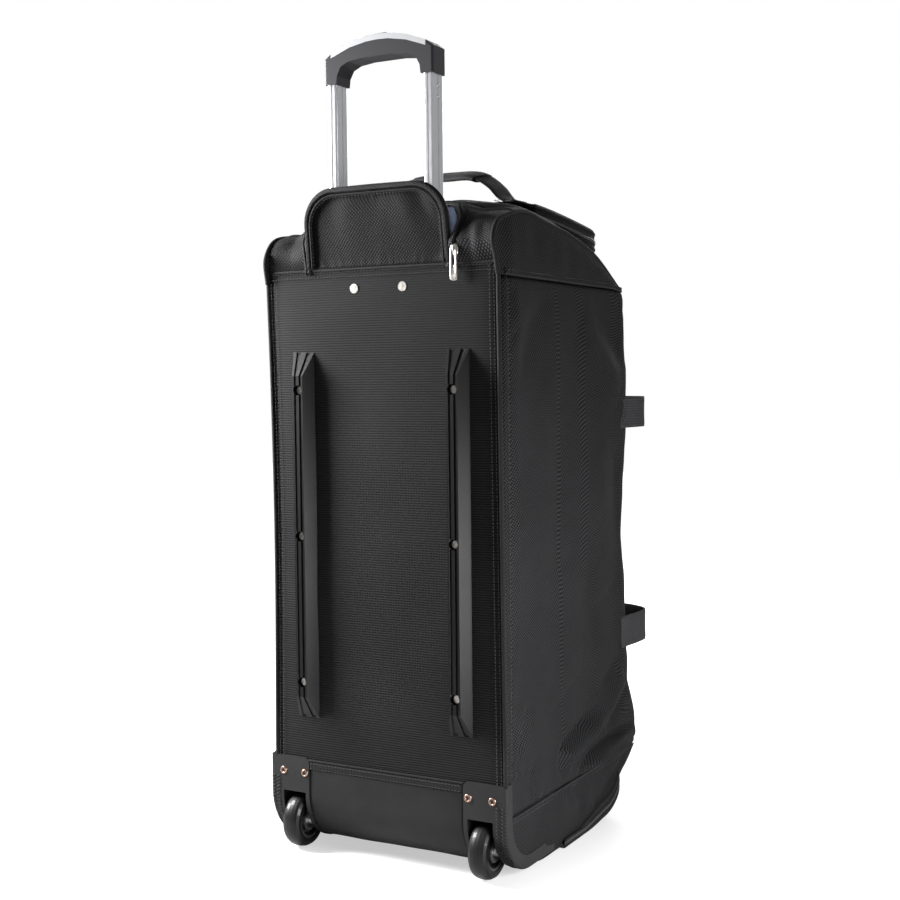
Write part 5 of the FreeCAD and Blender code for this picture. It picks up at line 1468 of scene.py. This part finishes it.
def top_strap():
    """The grab handle over the top, its webbing rolled into a grip in the middle."""
    low, high = node_box("top_handle_strap")
    y = (low[1] + high[1]) / 2
    foot = low[2] + 0.9
    crest = high[2]
    line = [(-114, foot), (-103, foot), (-88, foot + 4), (-60, foot + 17), (-14, crest - 2.5)]
    line += [(26, crest - 1.5), (64, crest - 5), (86, foot + 18), (99, foot + 4), (106, foot), (114, foot)]
    path = spline([(x, y, z) for x, z in line], 150)
    tangent = unit(np.gradient(path, axis=0))
    lean = 0.28 * np.exp(-(((path[:, 0] - 30) / 60) ** 2))
    normals = unit(points_at(-tangent[:, 2], -lean, tangent[:, 0]))
    strap("top_strap", path, normals, -0.4, "top_handle_strap")
    held = (path[:, 0] > -14) & (path[:, 0] < 68)
    grip = resample(np.concatenate([path[held], normals[held]], 1), 2.2)[0]
    section = rounded(full_turn(28), 20.6, 4.1, 0.6, 0.8)
    part = swept(grip[:, :3] - (0, 0, 1.6), grip[:, 3:], section)
    obj = mesh_piece("top_wrap", *part, STRAP, "webbing", ("top_handle_wrap",))
    tabs, rows = [], []
    corners = np.array([(90, -16), (112, -16), (112, 16), (90, 16)])
    for side in (-1, 1):
        tab = points_at(np.linspace(86, 120, 14) * side, y, foot - 1.8)
        tabs.append(swept(tab, (0, 0, 1), flat_section(43, 1.6, 9)))
        for a, b in ((0, 1), (3, 2), (0, 3), (1, 2)):
            run = corners[a] + (corners[b] - corners[a]) * np.linspace(0, 1, 8)[:, None]
            rows.append((points_at(side * run[:, 0], y + run[:, 1], foot + 1.3), (0, 0, 1)))
    joined_piece("top_tabs", tabs, STRAP, "webbing", ("top_handle_tabs",))
    stitches("top_stitches", rows, slot="webbing")


# ------------------------------------------------------------------ zip sliders and pulls
def slider(node, body, outward):
    """A slider's domed body with its bridge, between the corners of its CAD node."""
    low, high = node_box(node)
    middle, size = (low + high) / 2, high - low
    level = size[0] > size[2]
    narrow, long = sorted((size[0], size[2]))
    rings = []
    for height, scale in ((-0.5, 0.86), (-0.3, 1.0), (0.05, 1.0), (0.3, 0.82), (0.46, 0.5)):
        across, along = (rounded(full_turn(36), narrow / 2, long / 2, 0.6, 0.6) * scale * 1.12).T
        across = across * np.clip(1 + 0.22 * along / (long / 2), 0.7, 1.05)
        x, z = (along, across) if level else (across, along)
        rings.append(points_at(middle[0] + x, middle[1] + outward * size[1] * height, middle[2] + z))
    faces = lattice_faces(5, 36, wrap=True) + [tuple(range(36))[::-1], tuple(range(144, 180))]
    arc = np.linspace(0, math.pi, 14)
    loop = points_at(
        middle[0],
        middle[1] + outward * (size[1] * 0.25 + np.sin(arc) * size[1] * 0.62),
        middle[2] + np.cos(arc) * size[2] * 0.36,
    )
    bridge = swept(loop, (1, 0, 0), flat_section(1.3, 2.6, 5))
    parts = [(np.concatenate(rings), faces, np.zeros((180, 2))), bridge]
    joined_piece(node + "_body", parts, NICKEL, "nickel", (node,), body)


def pull(node, body, outward):
    """A slotted pull tab, wider at its free end, hung in its slider's bridge."""
    low, high = node_box(node)
    middle, size = (low + high) / 2, high - low
    outer = rounded(full_turn(48), size[0] * 0.65, size[2] / 2, 0.42, 0.42)
    outer[:, 0] *= 0.84 + 0.16 * (0.5 - outer[:, 1] / size[2])
    slot = rounded(full_turn(48), size[0] * 0.21, size[2] * 0.17, 0.6, 0.6) + (0, size[2] * 0.06)
    rings = [(slot, 0.36), (slot, 0.5), (outer * 0.94, 0.5), (outer, 0.3)]
    rings += [(outer, -0.3), (outer * 0.94, -0.5), (slot, -0.5), (slot, -0.36)]
    points = []
    for shape, depth in rings:
        x, z = (shape + middle[[0, 2]]).T
        points.append(points_at(x, middle[1] + outward * depth * size[1], z))
    points = np.concatenate(points)
    faces = lattice_faces(8, 48, wrap=True)
    faces += [(336 + c, 336 + (c + 1) % 48, (c + 1) % 48, c) for c in range(48)]
    mesh_piece(node + "_tab", points, faces, np.zeros((384, 2)), NICKEL, "nickel", (node,), body)


def zip_hardware():
    """Every zip's slider and pull."""
    for node, body, outward in (
        ("flap", "flap_zip", -1),
        ("main", "main_zip", 1),
        ("top_pocket", "top_zip", 1),
        ("bottom_pocket", "bottom_zip", 1),
    ):
        slider(node + "_slider", body + "_slider", outward)
        pull(node + "_pull", body + "_pull", outward)


# ------------------------------------------------------------------ moulded details
def housing_ribs():
    """Two rows of short slanted ribs down and round each wheel housing's outer corner."""
    line, normal = arc_profile(low=84.0)
    both, walked = resample(np.concatenate([line, normal], 1), 0.5)
    parts = []
    for side in (-1, 1):
        for start in np.arange(20.0, walked[-1] - 6, 4.0):
            at = start + np.linspace(0, 3.2, 5)
            for x0, x1 in ((140.5, 146.0), (147.5, 152.6)):
                spots = np.stack([np.interp(at, walked, both[:, k]) for k in range(4)], 1)
                x = np.linspace(x0, x1, 5)
                lift = 2.5 + np.array([-0.2, 0.35, 0.45, 0.35, -0.2]) - np.clip((x - 149.5) / 3, 0, 2) ** 2
                path = points_at(side * x, *(spots[:, :2] + spots[:, 2:] * lift[:, None]).T)
                parts.append(swept(path, points_at(0, *spots[:, 2:].T), round_section(0.8, 6)))
    joined_piece("housing_ribs", parts, GUARD, "guard")


def lathed(x, y, z, profile):
    """A turned shape about a line along Y: profile holds (radius, height towards the back)."""
    rings = []
    for radius, height in profile:
        a, b = round_section(radius, 28).T
        rings.append(points_at(x + a, y - height, z + b))
    faces = lattice_faces(len(profile), 28, wrap=True)
    return np.concatenate(rings), faces, np.zeros((len(profile) * 28, 2))


RIVET_GAP = 29.5


def housing_rivets():
    """Tubular rivets through the wheel housings: a rolled copper rim round a sunk end painted dark grey, as
    painted shade in the rivet's hollow.
    """
    low, high = node_box("housing_rivets")
    z, seat = (low[2] + high[2]) / 2, low[1] + 1.6
    outer = high[0] - (high[2] - low[2]) / 2
    spots = [(side * x, seat, z) for side in (1, -1) for x in (outer, outer - RIVET_GAP)]
    rim = [(4.6, 0.0), (4.5, 0.8), (3.9, 1.4), (3.1, 1.6), (2.5, 1.3), (2.2, 0.5)]
    core = [(2.5, 0.45), (1.3, 0.7), (1.0, 0.3), (0.05, 0.3)]
    for name, profile, material, slot, hides in (
        ("housing_rivet_rims", rim, COPPER, "copper", ("housing_rivets",)),
        # Painted shade: the sunk end of each rivet takes the dark grey hub plastic, standing in for the
        # shade inside its hollow.
        ("housing_rivet_shaded_ends", core, HUB, "hub", ()),
    ):
        joined_piece(name, [lathed(*spot, profile) for spot in spots], material, slot, hides)


def tube_buttons():
    """The two small spring buttons low on the grip's leg, on the right tube's outer side."""
    low, high = node_box("tube_right")
    parts = []
    for z in (high[2] - 24, high[2] - 36):
        rings = []
        for radius, lift in ((2.1, -0.1), (1.9, 0.25), (1.3, 0.55), (0.5, 0.7)):
            a, b = round_section(radius, 16).T
            rings.append(points_at(high[0] + lift, (low[1] + high[1]) / 2 + a, z + b))
        faces = lattice_faces(4, 16, wrap=True) + [tuple(range(48, 64))]
        parts.append((np.concatenate(rings), faces, np.zeros((64, 2))))
    joined_piece("tube_buttons", parts, STEEL, "steel", body="trolley")


# ------------------------------------------------------------------ building it
body_cloth()
end_gussets()
top_cloth()
bottom_cloth()
back_cloth()
skirt_cloth()
bag_piping()
felled_seams()
back_stitches()
level_folds()
main_zip()
top_pocket()
bottom_pocket()
opening_rim()
well_cloth()
flap()
carry_straps()
carry_wrap()
top_strap()
zip_hardware()
housing_ribs()
housing_rivets()
tube_buttons()


# ------------------------------------------------------------------ floor, light and camera
def floor():
    paint = Paint("pale_floor", specular=0.2)
    paint.colour(paint.blend(paint.noise(1.2, 2), (0.52, 0.52, 0.523), (0.55, 0.55, 0.55), (0.3, 0.7)))
    paint.roughness(paint.noise(30, 2), 0.45, 0.55)
    paint.shader.inputs["Emission Color"].default_value = (1, 1, 1, 1)
    seen = paint.node("ShaderNodeLightPath").outputs["Is Camera Ray"]
    place_at = paint.node("ShaderNodeTexCoord").outputs["Object"]
    away = paint.node("ShaderNodeVectorMath", operation="LENGTH")
    paint.link(place_at, away.inputs[0])
    ring = paint.node("ShaderNodeMapRange", interpolation_type="SMOOTHSTEP")
    for socket, value in zip(ring.inputs[1:5], (0.12, 0.8, 0.46, 0.975)):
        socket.default_value = value
    paint.link(away.outputs["Value"], ring.inputs[0])
    glow = paint.maths("MULTIPLY_ADD", seen, ring.outputs[0])
    glow.node.inputs[2].default_value = 0.06
    paint.link(glow, paint.shader.inputs["Emission Strength"])
    x = np.linspace(-6000, 6000, 13)
    points = np.array([(a, b, -0.3) for b in x for a in x], float)
    mesh = bpy.data.meshes.new("floor")
    mesh.from_pydata([tuple(p / 1000) for p in points], [], lattice_faces(13, 13))
    obj = bpy.data.objects.new("floor", mesh)
    mesh.materials.append(paint.material)
    bpy.context.scene.collection.objects.link(obj)


def softbox(name, where, target, size, power):
    light = bpy.data.lights.new(name, "AREA")
    light.shape = "RECTANGLE"
    light.size, light.size_y = size
    light.energy = power
    obj = bpy.data.objects.new(name, light)
    obj.location = where
    obj.rotation_euler = (Vector(target) - Vector(where)).to_track_quat("-Z", "Y").to_euler()
    obj.visible_camera = False
    bpy.context.scene.collection.objects.link(obj)


def studio():
    world = bpy.data.worlds.new("studio")
    world.use_nodes = True
    tree = world.node_tree
    shine = tree.nodes["Background"]
    shine.inputs[0].default_value = (1.0, 1.0, 1.0, 1)
    rays = tree.nodes.new("ShaderNodeLightPath")
    steps = ((rays.outputs["Is Camera Ray"], 0.98), (rays.outputs["Is Glossy Ray"], 0.4))
    level = None
    for socket, share in steps:
        part = tree.nodes.new("ShaderNodeMath")
        part.operation = "MULTIPLY_ADD"
        part.inputs[1].default_value = share
        tree.links.new(socket, part.inputs[0])
        if level is None:
            part.inputs[2].default_value = 0.02
        else:
            tree.links.new(level, part.inputs[2])
        level = part.outputs[0]
    tree.links.new(level, shine.inputs[1])
    bpy.context.scene.world = world
    bpy.context.scene.view_settings.view_transform = "Standard"
    softbox("key", (-0.85, -0.5, 0.78), (-0.1, -0.2, 0.4), (0.3, 0.6), 44)
    softbox("fill", (0.62, -0.27, 0.26), (0.15, -0.05, 0.24), (0.16, 0.3), 5.0)
    softbox("top", (0.1, 0.3, 3.2), (0, 0, 0.4), (2.2, 2.2), 6)
    softbox("front", (-0.5, 2.2, 1.3), (0, 0.1, 0.35), (1.2, 1.2), 30)


def camera():
    yaw, pitch, roll = math.radians(28.98), math.radians(2.88), -0.0101
    ahead = Vector((-math.sin(yaw) * math.cos(pitch), math.cos(yaw) * math.cos(pitch), -math.sin(pitch)))
    right = Vector((math.cos(yaw), math.sin(yaw), 0))
    up = right.cross(ahead)
    turned = (
        math.cos(roll) * right + math.sin(roll) * up,
        math.cos(roll) * up - math.sin(roll) * right,
        -ahead,
    )
    data = bpy.data.cameras.new("camera")
    data.lens, data.sensor_width = 55.9, 36.0
    obj = bpy.data.objects.new("camera", data)
    obj.matrix_world = Matrix.Translation((0.8121, -1.3082 + BACK_Y / 1000, 0.5413)) @ Matrix(
        [[turned[c][r] for c in range(3)] for r in range(3)]
    ).to_4x4()
    bpy.context.scene.collection.objects.link(obj)
    bpy.context.scene.camera = obj


floor()
studio()
camera()
